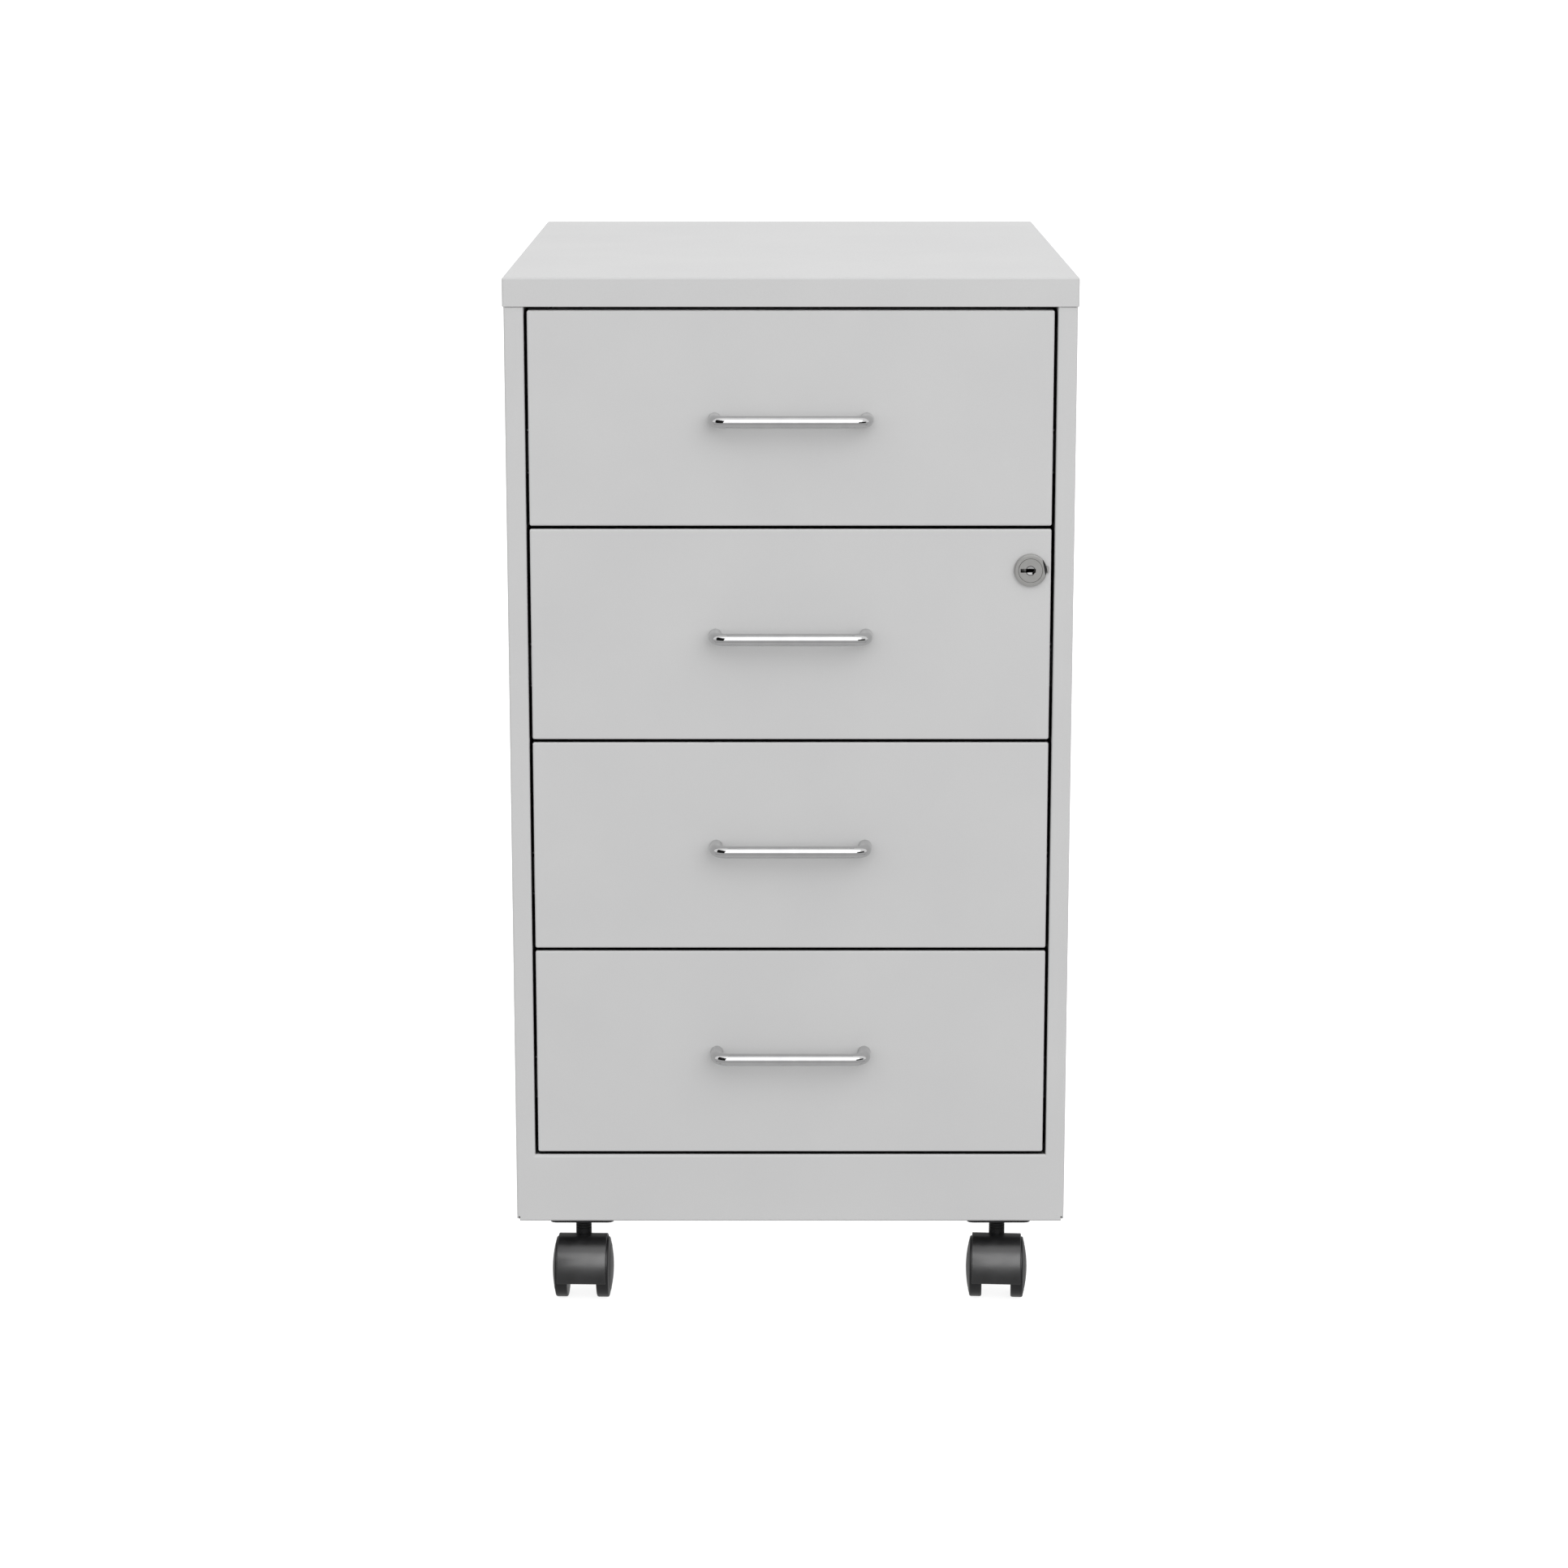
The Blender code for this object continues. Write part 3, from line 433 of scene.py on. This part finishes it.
def black_nylon(name, gloss):
    """Moulded black nylon with a fine spark-eroded grain."""
    material, tree, shader, coordinates = node_material(name)
    grain = noise(tree, coordinates, 4200, 3, 0.6)
    flow = noise(tree, coordinates, 110, 3)
    colour = tinted(tree, flow, (0.012, 0.012, 0.0125), (0.018, 0.018, 0.019))
    tree.links.new(colour, shader.inputs["Base Color"])
    tree.links.new(ranged(tree, flow, 0.30, 0.40), shader.inputs["Roughness"])
    tree.links.new(bump(tree, grain, 0.30, 0.00003), shader.inputs["Normal"])
    shader.inputs["Specular IOR Level"].default_value = gloss
    return material


def zinc_plate():
    """Bright zinc on rolled steel: faint spangle, rolling lines along Y and uneven gloss."""
    material, tree, shader, coordinates = node_material("zinc_plate_bright")
    spangle = tree.nodes.new("ShaderNodeTexVoronoi")
    spangle.inputs["Scale"].default_value = 240
    tree.links.new(coordinates, spangle.inputs["Vector"])
    cloud = noise(tree, coordinates, 60, 4)
    lines = noise(tree, coordinates, 1500, 2, 0.5, (1, 0.02, 1))
    mix = tree.nodes.new("ShaderNodeMix")
    mix.data_type = "RGBA"
    mix.blend_type = "MULTIPLY"
    mix.inputs["Factor"].default_value = 1.0
    tree.links.new(tinted(tree, cloud, (0.54, 0.55, 0.57), (0.66, 0.67, 0.68)), mix.inputs["A"])
    flakes = tinted(tree, spangle.outputs["Distance"], (0.92, 0.92, 0.92), (1, 1, 1), 0.0, 0.8)
    tree.links.new(flakes, mix.inputs["B"])
    tree.links.new(mix.outputs["Result"], shader.inputs["Base Color"])
    tree.links.new(ranged(tree, cloud, 0.26, 0.42), shader.inputs["Roughness"])
    tree.links.new(bump(tree, lines, 0.12, 0.00003), shader.inputs["Normal"])
    shader.inputs["Metallic"].default_value = 1.0
    return material


def black_zinc():
    """Black passivated zinc: dark, faintly cloudy metal."""
    material, tree, shader, coordinates = node_material("black_zinc_plate")
    cloud = noise(tree, coordinates, 180, 4)
    grain = noise(tree, coordinates, 3000, 2)
    colour = tinted(tree, cloud, (0.028, 0.028, 0.030), (0.055, 0.054, 0.056))
    tree.links.new(colour, shader.inputs["Base Color"])
    tree.links.new(ranged(tree, cloud, 0.34, 0.52), shader.inputs["Roughness"])
    tree.links.new(bump(tree, grain, 0.20, 0.00003), shader.inputs["Normal"])
    shader.inputs["Metallic"].default_value = 0.9
    return material


MATERIALS = {
    "powder_coat": powder_coat(),
    "chrome": chrome(),
    "satin_nickel": satin_nickel(),
    "black_nylon": black_nylon("black_nylon_moulded", 0.55),
    "zinc_plate": zinc_plate(),
    "black_zinc": black_zinc(),
}


# Pieces. Some reflection panels show in these groups only.
groups = {"casters": [], "pulls": []}


def dress_cad_nodes():
    """Gives each CAD node its finish, rounds its cut edges and keeps its flats flat."""
    for entry in frame["record"]["subparts"]:
        node = frame["nodes"][entry["node"]]
        slot = entry["material_slot"]
        for material_slot in node.material_slots:
            material_slot.material = MATERIALS[slot]
        for attribute in ("custom_normal", "sharp_edge"):
            if attribute in node.data.attributes:
                node.data.attributes.remove(node.data.attributes[attribute])
        node.data.shade_smooth()
        weld = node.modifiers.new("Weld", "WELD")
        weld.merge_threshold = WELD_DISTANCE
        flats = node.modifiers.new("Flats", "DECIMATE")
        flats.decimate_type = "DISSOLVE"
        flats.angle_limit = radians(FLAT_ANGLE)
        edges = node.modifiers.new("Cut edges", "BEVEL")
        edges.limit_method = "ANGLE"
        edges.angle_limit = radians(CUT_ANGLE)
        edges.width = COATED_EDGE if slot == "powder_coat" else CUT_EDGE
        edges.segments = 2
        edges.use_clamp_overlap = True
        normals = node.modifiers.new("Normals", "WEIGHTED_NORMAL")
        normals.weight = 90


def make_pulls():
    """Smooth bent chrome bars in place of the faceted ones."""
    for number in DRAWERS:
        low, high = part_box(f"pull_{number}")
        radius = (high.z - low.z) / 2
        half = (high.x - low.x) / 2 - radius
        out = low.y + radius - FRONT
        corner = arc((PULL_BEND - half, out + PULL_BEND), PULL_BEND, 180, 270, PULL_ARC_STEPS)
        left = [(-half, 0), (-half, (out + PULL_BEND) / 2), *corner]
        path = left + [(-x, y) for x, y in reversed(left)]
        place = Matrix.Translation((0, FRONT, (low.z + high.z) / 2))
        mesh = rod(path, radius, PULL_SIDES)
        name = f"wire_pull_{number}"
        pull = new_piece(name, mesh, MATERIALS["chrome"], f"drawer_{number}", place)
        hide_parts(f"pull_{number}")
        groups["pulls"].append(pull)


def lock_head_mesh():
    """Flat head with a soft rim over a long barrel. A crescent notch parts it from the tab on its right."""
    seat = PLUG_RADIUS + PLUG_GAP
    rim_width = LOCK_HEAD_RADIUS - LOCK_FLAT_RADIUS
    rim_fall = LOCK_FACE - LOCK_RIM
    quarter = arc((0, 0), 1, 90, 0, LOCK_RIM_STEPS)
    rim = [(LOCK_FLAT_RADIUS + rim_width * x, LOCK_RIM + rim_fall * y) for x, y in quarter]
    profile = [
        (seat, PLUG_SHOULDER),
        (seat, LOCK_FACE - LOCK_SOFT),
        (seat + LOCK_SOFT, LOCK_FACE),
        *rim,
        (LOCK_HEAD_RADIUS, LOCK_BACK),
        (LOCK_BARREL_RADIUS, LOCK_BACK),
        (LOCK_BARREL_RADIUS, LOCK_BARREL_END + LOCK_SOFT),
        (LOCK_BARREL_RADIUS - LOCK_SOFT, LOCK_BARREL_END),
        (LOCK_CORE_RADIUS, LOCK_BARREL_END),
        (LOCK_CORE_RADIUS, PLUG_SHOULDER),
    ]
    head = turned(profile, LOCK_STEPS, "-Y", closed=True)
    tab_out = LOCK_HEAD_RADIUS + TAB_REACH
    tab_low = (LOCK_FLAT_RADIUS, -TAB_FACE, TAB_RISE - TAB_HALF)
    tab = block(tab_low, (tab_out, -LOCK_BACK, TAB_RISE + TAB_HALF))
    notch_low = (LOCK_HEAD_RADIUS - NOTCH_WIDTH, -2 * LOCK_FACE, -NOTCH_LENGTH / 2)
    notch = block(notch_low, (LOCK_HEAD_RADIUS + LOCK_SOFT, -NOTCH_FLOOR, NOTCH_LENGTH / 2))
    notch.transform(Matrix.Rotation(radians(-NOTCH_TILT), 4, "Y"))
    return combined(head, unions=[tab], cuts=[notch])


def notch_shadow_mesh():
    """Painted shadow: a crescent in the black zinc material on the floor of the notch, put where the recess is in
    shade.
    """
    radius = LOCK_HEAD_RADIUS - LOCK_SOFT
    half = degrees(acos((LOCK_HEAD_RADIUS - NOTCH_WIDTH + LOCK_SOFT) / radius))
    crescent = arc((0, 0), radius, -half, half, NOTCH_STEPS)
    plate = prism_x(crescent, NOTCH_FLOOR, NOTCH_FLOOR + NOTCH_FILL)
    plate.transform(Matrix.Rotation(radians(-NOTCH_TILT), 4, "Y") @ Matrix.Rotation(-pi / 2, 4, "Z"))
    return plate


def lock_plug_mesh():
    """Plug with a keyhole round a dished post. The key slot runs further to the left of it."""
    profile = [
        (0, LOCK_FACE),
        (PLUG_RADIUS - LOCK_SOFT, LOCK_FACE),
        (PLUG_RADIUS, LOCK_FACE - LOCK_SOFT),
        (PLUG_RADIUS, PLUG_SHOULDER + PLUG_GAP),
        (PLUG_BODY_RADIUS, PLUG_SHOULDER + PLUG_GAP),
        (PLUG_BODY_RADIUS, PLUG_END),
        (0, PLUG_END),
    ]
    plug = turned(profile, LOCK_STEPS, "-Y")
    half = PLUG_TAIL_HALF
    tail = block((-half, -PLUG_END - LOCK_SOFT, -half), (half, -PLUG_TAIL_END, half))
    floor = LOCK_FACE - KEYHOLE_DEPTH
    hole_profile = [(0, 2 * LOCK_FACE), (KEYHOLE_RADIUS, 2 * LOCK_FACE), (KEYHOLE_RADIUS, floor), (0, floor)]
    hole = turned(hole_profile, KEYHOLE_STEPS, "-Y")
    slot = block((-SLOT_LEFT, -2 * LOCK_FACE, -SLOT_HALF), (SLOT_RIGHT, -floor, SLOT_HALF))
    return combined(plug, unions=[tail], cuts=[hole, slot])


def lock_post_mesh():
    """Dished post inside the keyhole, split by the key slot, with its lower right corner cut away."""
    foot = LOCK_FACE - KEYHOLE_DEPTH - LOCK_SOFT
    dish = []
    for step in range(POST_DISH_STEPS + 1):
        share = step / POST_DISH_STEPS
        dish.append((POST_RADIUS * share, LOCK_FACE - POST_SINK - POST_DISH * (1 - share**2)))
    post = turned([*dish, (POST_RADIUS, foot), (0, foot)], KEYHOLE_STEPS, "-Y")
    deep = KEYHOLE_DEPTH - LOCK_FACE
    slot = block((-2 * POST_RADIUS, -2 * LOCK_FACE, -SLOT_HALF), (2 * POST_RADIUS, deep, SLOT_HALF))
    ward = block((POST_RADIUS / 2, -2 * LOCK_FACE, -2 * POST_RADIUS), (2 * POST_RADIUS, deep, 0))
    return combined(post, cuts=[slot, ward])


def make_lock():
    """Smooth head and plug in place of the faceted ones, with a black crescent painted as the notch's shadow, and
    the key post.
    """
    x, y, z = JOINTS["lock_turn"]["pos_m"]
    place = Matrix.Translation((x, y, z))
    nickel = MATERIALS["satin_nickel"]
    head = new_piece("lock_head", lock_head_mesh(), nickel, "drawer_2", place)
    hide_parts("lock_housing")
    dark = MATERIALS["black_zinc"]
    # Painted shadow: a black crescent that stands for the shade in the notch.
    new_piece("lock_notch_shadow", notch_shadow_mesh(), dark, "drawer_2", place)
    plug = new_piece("lock_plug_face", lock_plug_mesh(), nickel, "lock", place)
    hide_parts("lock_plug")
    new_piece("lock_key_post", lock_post_mesh(), MATERIALS["chrome"], "lock", place)


def hood_arc(axle, radius, first, last, steps):
    """Points about the axle, from one hood angle to another."""
    return arc(axle, radius, 180 - first, 180 - last, steps)


def hood_corner(axle, first, last):
    """Rounded corner between the straight stretches that leave the outer arc at two angles."""
    middle = (first + last) / 2
    half = (last - first) / 2
    straight = (1 - HOOD_SOFTNESS) * half
    near, far = hood_arc(axle, HOOD_OUTER / cos(radians(straight)), first + straight, last - straight, 1)
    tip = hood_arc(axle, HOOD_OUTER / cos(radians(half)), middle, middle, 1)[0]
    points = []
    for step in range(HOOD_CORNER_STEPS + 1):
        share = step / HOOD_CORNER_STEPS
        weights = ((1 - share) ** 2, 2 * share * (1 - share), share**2)
        points.append(tuple(sum(w * point[i] for w, point in zip(weights, (near, tip, far))) for i in (0, 1)))
    return points


def hood_mesh(axle):
    """Flat-topped cover with soft edges, and the web and boss that hold the axle."""
    outer = hood_arc(axle, HOOD_OUTER, HOOD_FIRST, HOOD_FACET, HOOD_STEPS // 2)
    outer += hood_corner(axle, HOOD_FACET, 90) + hood_corner(axle, 90, HOOD_TAIL)
    outer += hood_arc(axle, HOOD_OUTER, HOOD_TAIL, HOOD_LAST, HOOD_STEPS // 4)
    inner = hood_arc(axle, HOOD_INNER, HOOD_LAST, HOOD_FIRST, HOOD_STEPS)
    thing = bpy.data.objects.new("hood_base", prism_x(outer + inner, -HOOD_HALF, HOOD_HALF))
    bpy.context.scene.collection.objects.link(thing)
    bevel = thing.modifiers.new("Edges", "BEVEL")
    bevel.limit_method = "ANGLE"
    bevel.angle_limit = radians(HOOD_EDGE_ANGLE)
    bevel.width = HOOD_EDGE
    bevel.segments = HOOD_EDGE_STEPS
    shell = evaluated(thing)
    bpy.data.objects.remove(thing, do_unlink=True)
    middle = (HOOD_INNER + HOOD_OUTER) / 2
    web_arch = hood_arc(axle, middle, WEB_FIRST, WEB_LAST, WEB_STEPS)
    boss = hood_arc(axle, BOSS_RADIUS, WEB_LAST, WEB_FIRST + 360, WEB_STEPS)
    web = prism_x(web_arch + boss, -WEB_HALF, WEB_HALF)
    bore = [(0, -HOOD_HALF), (AXLE_RADIUS, -HOOD_HALF), (AXLE_RADIUS, HOOD_HALF), (0, HOOD_HALF)]
    axle_bore = turned(bore, BORE_STEPS, "X")
    axle_bore.transform(Matrix.Translation((0, *axle)))
    return combined(shell, unions=[web], cuts=[stem_bore_mesh(), axle_bore])


def stem_bore_mesh():
    """Cutter for the hole that the swivel stem stands in."""
    foot = STEM_BORE_FOOT
    top = COLLAR_TOP + COLLAR_PITCH
    profile = [(0, foot), (STEM_BORE_RADIUS, foot), (STEM_BORE_RADIUS, top), (0, top)]
    return turned(profile, BORE_STEPS, "Z")


def collar_mesh(foot):
    """Grooved collar round the swivel stem."""
    collar = [(0, foot), (COLLAR_RADIUS, foot)]
    for turn in range(COLLAR_GROOVES):
        level = COLLAR_TOP - (COLLAR_GROOVES - turn) * COLLAR_PITCH
        collar += [
            (COLLAR_RADIUS, level - COLLAR_GROOVE),
            (COLLAR_RADIUS - COLLAR_GROOVE, level),
            (COLLAR_RADIUS, level + COLLAR_GROOVE),
        ]
    collar.append((COLLAR_RADIUS, COLLAR_TOP - COLLAR_GROOVE))
    collar += [(COLLAR_RADIUS - COLLAR_GROOVE, COLLAR_TOP), (0, COLLAR_TOP)]
    return combined(turned(collar, COLLAR_STEPS, "Z"), cuts=[stem_bore_mesh()])


def wheel_mesh(radius, side):
    """Domed wheel with a ring groove and a rounded tread. Its dome looks along side * X."""
    rim = radius - WHEEL_EDGE

    def dome(r):
        return WHEEL_OUTER - WHEEL_DROP * (r / radius) ** 2

    face = [(rim * step / DOME_STEPS, dome(rim * step / DOME_STEPS)) for step in range(DOME_STEPS + 1)]
    inside = [point for point in face if point[0] < GROOVE_RADIUS - 2 * GROOVE_HALF]
    outside = [point for point in face if point[0] > GROOVE_RADIUS + 2 * GROOVE_HALF]
    level = dome(GROOVE_RADIUS)
    groove = [
        (GROOVE_RADIUS - GROOVE_HALF, level),
        (GROOVE_RADIUS - GROOVE_HALF / 2, level - GROOVE_DEPTH),
        (GROOVE_RADIUS + GROOVE_HALF / 2, level - GROOVE_DEPTH),
        (GROOVE_RADIUS + GROOVE_HALF, level),
    ]
    tread = arc((rim, dome(rim) - WHEEL_EDGE), WHEEL_EDGE, WHEEL_EDGE_START, 0, WHEEL_EDGE_STEPS)
    heel = arc((rim, WHEEL_INNER + WHEEL_EDGE), WHEEL_EDGE, 0, -90, WHEEL_EDGE_STEPS)
    bore = [(AXLE_RADIUS, WHEEL_INNER), (AXLE_RADIUS, AXLE_HALF), (0, AXLE_HALF)]
    mesh = turned([*inside, *groove, *outside, *tread, *heel, *bore], WHEEL_STEPS, "X")
    if side < 0:
        mesh.transform(Matrix.Rotation(pi, 4, "Z"))
    return mesh


def make_casters():
    """Smooth hoods and wheels in place of the faceted ones, on the joints' own axes."""
    nylon = MATERIALS["black_nylon"]
    dull = black_nylon("black_nylon_dull", 0.15)
    tyre = black_nylon("black_nylon_tyre", 0.25)
    for where in CASTERS:
        swivel = Vector(JOINTS[f"swivel_{where}"]["pos_m"])
        roll = JOINTS[f"wheel_{where}_left_roll"]
        axle = Vector(roll["pos_m"])
        yaw = atan2(roll["axis"][1], roll["axis"][0])
        lead = (axle.xy - swivel.xy).length
        place = Matrix.Translation((swivel.x, swivel.y, 0)) @ Matrix.Rotation(yaw, 4, "Z")
        body = f"caster_{where}"
        hood = new_piece(f"hood_{where}", hood_mesh((-lead, axle.z)), nylon, body, place)
        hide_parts(f"caster_hood_{where}")
        neck = new_piece(f"neck_{where}", collar_mesh(axle.z + HOOD_INNER), dull, body, place)
        lit = [hood, neck]
        hub = Matrix.Translation(axle) @ Matrix.Rotation(yaw, 4, "Z")
        for word, side in SIDES.items():
            body = f"wheel_{where}_{word}"
            wheel = new_piece(f"{body}_tyre", wheel_mesh(axle.z, side), tyre, body, hub)
            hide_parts(f"caster_{body}")
            lit.append(wheel)
        groups["casters"] += lit


def screw_mesh():
    """Pan head with a cross recess, facing +Y from y = 0."""
    radius = SCREW_HEAD_RADIUS
    rim = SCREW_RIM_SHARE * SCREW_HEAD_HEIGHT
    rise = SCREW_HEAD_HEIGHT - rim
    crown = [(radius * x, rim + rise * y) for x, y in arc((0, 0), 1, 90, 0, SCREW_CROWN_STEPS)]
    head = turned([*crown, (radius, 0), (0, 0)], SCREW_STEPS, "-Y")
    head.transform(Matrix.Rotation(pi, 4, "Z"))
    deep = SCREW_HEAD_HEIGHT - SCREW_CROSS_DEPTH
    arms = []
    for x, z in ((SCREW_CROSS_HALF, SCREW_CROSS_WIDTH), (SCREW_CROSS_WIDTH, SCREW_CROSS_HALF)):
        arms.append(block((-x, deep, -z), (x, 2 * SCREW_HEAD_HEIGHT, z)))
    return combined(head, cuts=arms)


def make_pull_screws():
    """Two zinc-plated screws behind each pull, on the drawer's inner wall."""
    for number in DRAWERS:
        low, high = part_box(f"pull_{number}")
        radius = (high.z - low.z) / 2
        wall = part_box(f"drawer_box_{number}")[0].y + INNER_WALL_SHEET
        for word, side in SIDES.items():
            x = side * ((high.x - low.x) / 2 - radius)
            place = Matrix.Translation((x, wall, (low.z + high.z) / 2))
            name = f"pull_screw_{number}_{word}"
            new_piece(name, screw_mesh(), MATERIALS["zinc_plate"], f"drawer_{number}", place)


# Stage, light and camera.


def make_floor():
    """A pale floor that glows enough to look evenly white. Only the camera sees it."""
    material, tree, shader, coordinates = node_material("studio_floor")
    cloud = noise(tree, coordinates, 1.5, 2)
    tree.links.new(tinted(tree, cloud, (0.50, 0.50, 0.50), (0.53, 0.53, 0.53)), shader.inputs["Base Color"])
    shader.inputs["Roughness"].default_value = 0.9
    shader.inputs["Specular IOR Level"].default_value = 0.0
    shader.inputs["Emission Color"].default_value = (1, 1, 1, 1)
    shader.inputs["Emission Strength"].default_value = 0.85
    bm = bmesh.new()
    bmesh.ops.create_grid(bm, x_segments=1, y_segments=1, size=80)
    floor = new_piece("floor", mesh_from(bm, "floor"), material)
    floor.visible_diffuse = False
    floor.visible_glossy = False
    floor.visible_shadow = False


def make_world():
    """A white sky over a grey lower half, with a darker band where the floor's far edge would reflect."""
    world = bpy.data.worlds.new("studio")
    bpy.context.scene.world = world
    world.use_nodes = True
    tree = world.node_tree
    split = tree.nodes.new("ShaderNodeSeparateXYZ")
    direction = tree.nodes.new("ShaderNodeTexCoord").outputs["Generated"]
    tree.links.new(direction, split.inputs["Vector"])
    height = ranged(tree, split.outputs["Z"], 0.0, 1.0, -1.0, 1.0)
    ramp = tree.nodes.new("ShaderNodeValToRGB")
    tree.links.new(height, ramp.inputs["Fac"])
    stops = ramp.color_ramp.elements
    stops[0].position = 0.0
    stops[0].color = (0.60, 0.60, 0.60, 1)
    stops[1].position = 0.49
    stops[1].color = (1, 1, 1, 1)
    for position, grey in ((0.19, 0.60), (0.215, 0.40), (0.255, 0.40), (0.28, 0.58), (0.486, 0.50)):
        stop = stops.new(position)
        stop.color = (grey, grey, grey, 1)
    tree.links.new(ramp.outputs["Color"], tree.nodes["Background"].inputs["Color"])
    tree.nodes["Background"].inputs["Strength"].default_value = 1.0


def add_softbox(name, place, target, size, power):
    """A rectangular light that faces a target. The camera doesn't see it."""
    light = bpy.data.lights.new(name, "AREA")
    light.shape = "RECTANGLE"
    light.size, light.size_y = size
    light.energy = power
    lamp = bpy.data.objects.new(name, light)
    bpy.context.scene.collection.objects.link(lamp)
    lamp.location = place
    aim = Vector(target) - Vector(place)
    lamp.rotation_euler = aim.to_track_quat("-Z", "Y").to_euler()
    lamp.visible_camera = False
    return lamp


def only_reflect_in(lamp, pieces):
    """Hides a lamp from diffuse light, and from the reflections of everything but some pieces."""
    lamp.visible_diffuse = False
    receivers = bpy.data.collections.new(f"{lamp.name}_receivers")
    for piece in pieces:
        receivers.objects.link(piece)
    lamp.light_linking.receiver_collection = receivers


def seen_from_front(azimuth, elevation, distance):
    """A place seen from the middle of the front. Azimuth 0 is straight ahead of it, and + is right."""
    turn, rise = radians(azimuth), radians(elevation)
    away = Vector((sin(turn) * cos(rise), -cos(turn) * cos(rise), sin(rise)))
    return MIDDLE + distance * away


def make_lights():
    """A key and a fill light, and panels that only show as reflections in the chrome and the nylon."""
    key = add_softbox("key_softbox", (0.9, -2.1, 1.9), (0, FRONT, 0.35), (2.2, 1.6), 7)
    key.visible_glossy = False
    fill = add_softbox("fill_softbox", seen_from_front(12, 22, 2.4), MIDDLE, (3.0, 2.2), 13)
    fill.visible_glossy = False
    back = add_softbox("back_softbox", seen_from_front(158, 4, 2.6), MIDDLE, (2.4, 2.0), 11)
    back.visible_glossy = False
    high = add_softbox("high_panel", seen_from_front(0, 40, 3.0), MIDDLE, (3.6, 3.0), 150)
    only_reflect_in(high, groups["casters"])
    broad = add_softbox("broad_panel", seen_from_front(0, 35, 3.0), MIDDLE, (6.0, 3.4), 54)
    only_reflect_in(broad, groups["pulls"])


def make_flag(name, azimuth, elevation, width, height):
    """A matt black card that only reflections see."""
    material, tree, shader, coordinates = node_material(name)
    cloud = noise(tree, coordinates, 3)
    tree.links.new(tinted(tree, cloud, (0.01, 0.01, 0.01), (0.02, 0.02, 0.02)), shader.inputs["Base Color"])
    shader.inputs["Specular IOR Level"].default_value = 0.0
    bm = bmesh.new()
    bmesh.ops.create_grid(bm, x_segments=1, y_segments=1, size=0.5)
    spot = seen_from_front(azimuth, elevation, FLAG_DISTANCE)
    aim = (MIDDLE - spot).to_track_quat("Z", "Y").to_matrix().to_4x4()
    place = Matrix.Translation(spot) @ aim @ Matrix.Diagonal((width, height, 1, 1))
    flag = new_piece(name, mesh_from(bm, name), material, place=place)
    flag.visible_camera = False
    flag.visible_diffuse = False
    flag.visible_shadow = False


def make_camera():
    """A camera straight in front and above, tilted down to the photograph's viewing angle."""
    data = bpy.data.cameras.new("camera")
    data.sensor_width = 36
    data.lens = CAMERA_LENS
    data.shift_y = CAMERA_SHIFT
    data.clip_end = 200
    camera = bpy.data.objects.new("camera", data)
    bpy.context.scene.collection.objects.link(camera)
    camera.location = (CAMERA_SIDE, FRONT - CAMERA_DISTANCE, CAMERA_HEIGHT)
    camera.rotation_euler = (radians(90 - CAMERA_TILT), 0, 0)
    bpy.context.scene.camera = camera
    bpy.context.scene.view_settings.view_transform = "Standard"


dress_cad_nodes()
make_pulls()
make_lock()
make_casters()
make_pull_screws()
make_floor()
make_world()
make_lights()
make_flag("flag_left", -48, 19, 2.4, 2.2)
make_flag("flag_right", 51, 6, 2.2, 0.9)
make_camera()

bpy.context.view_layer.update()
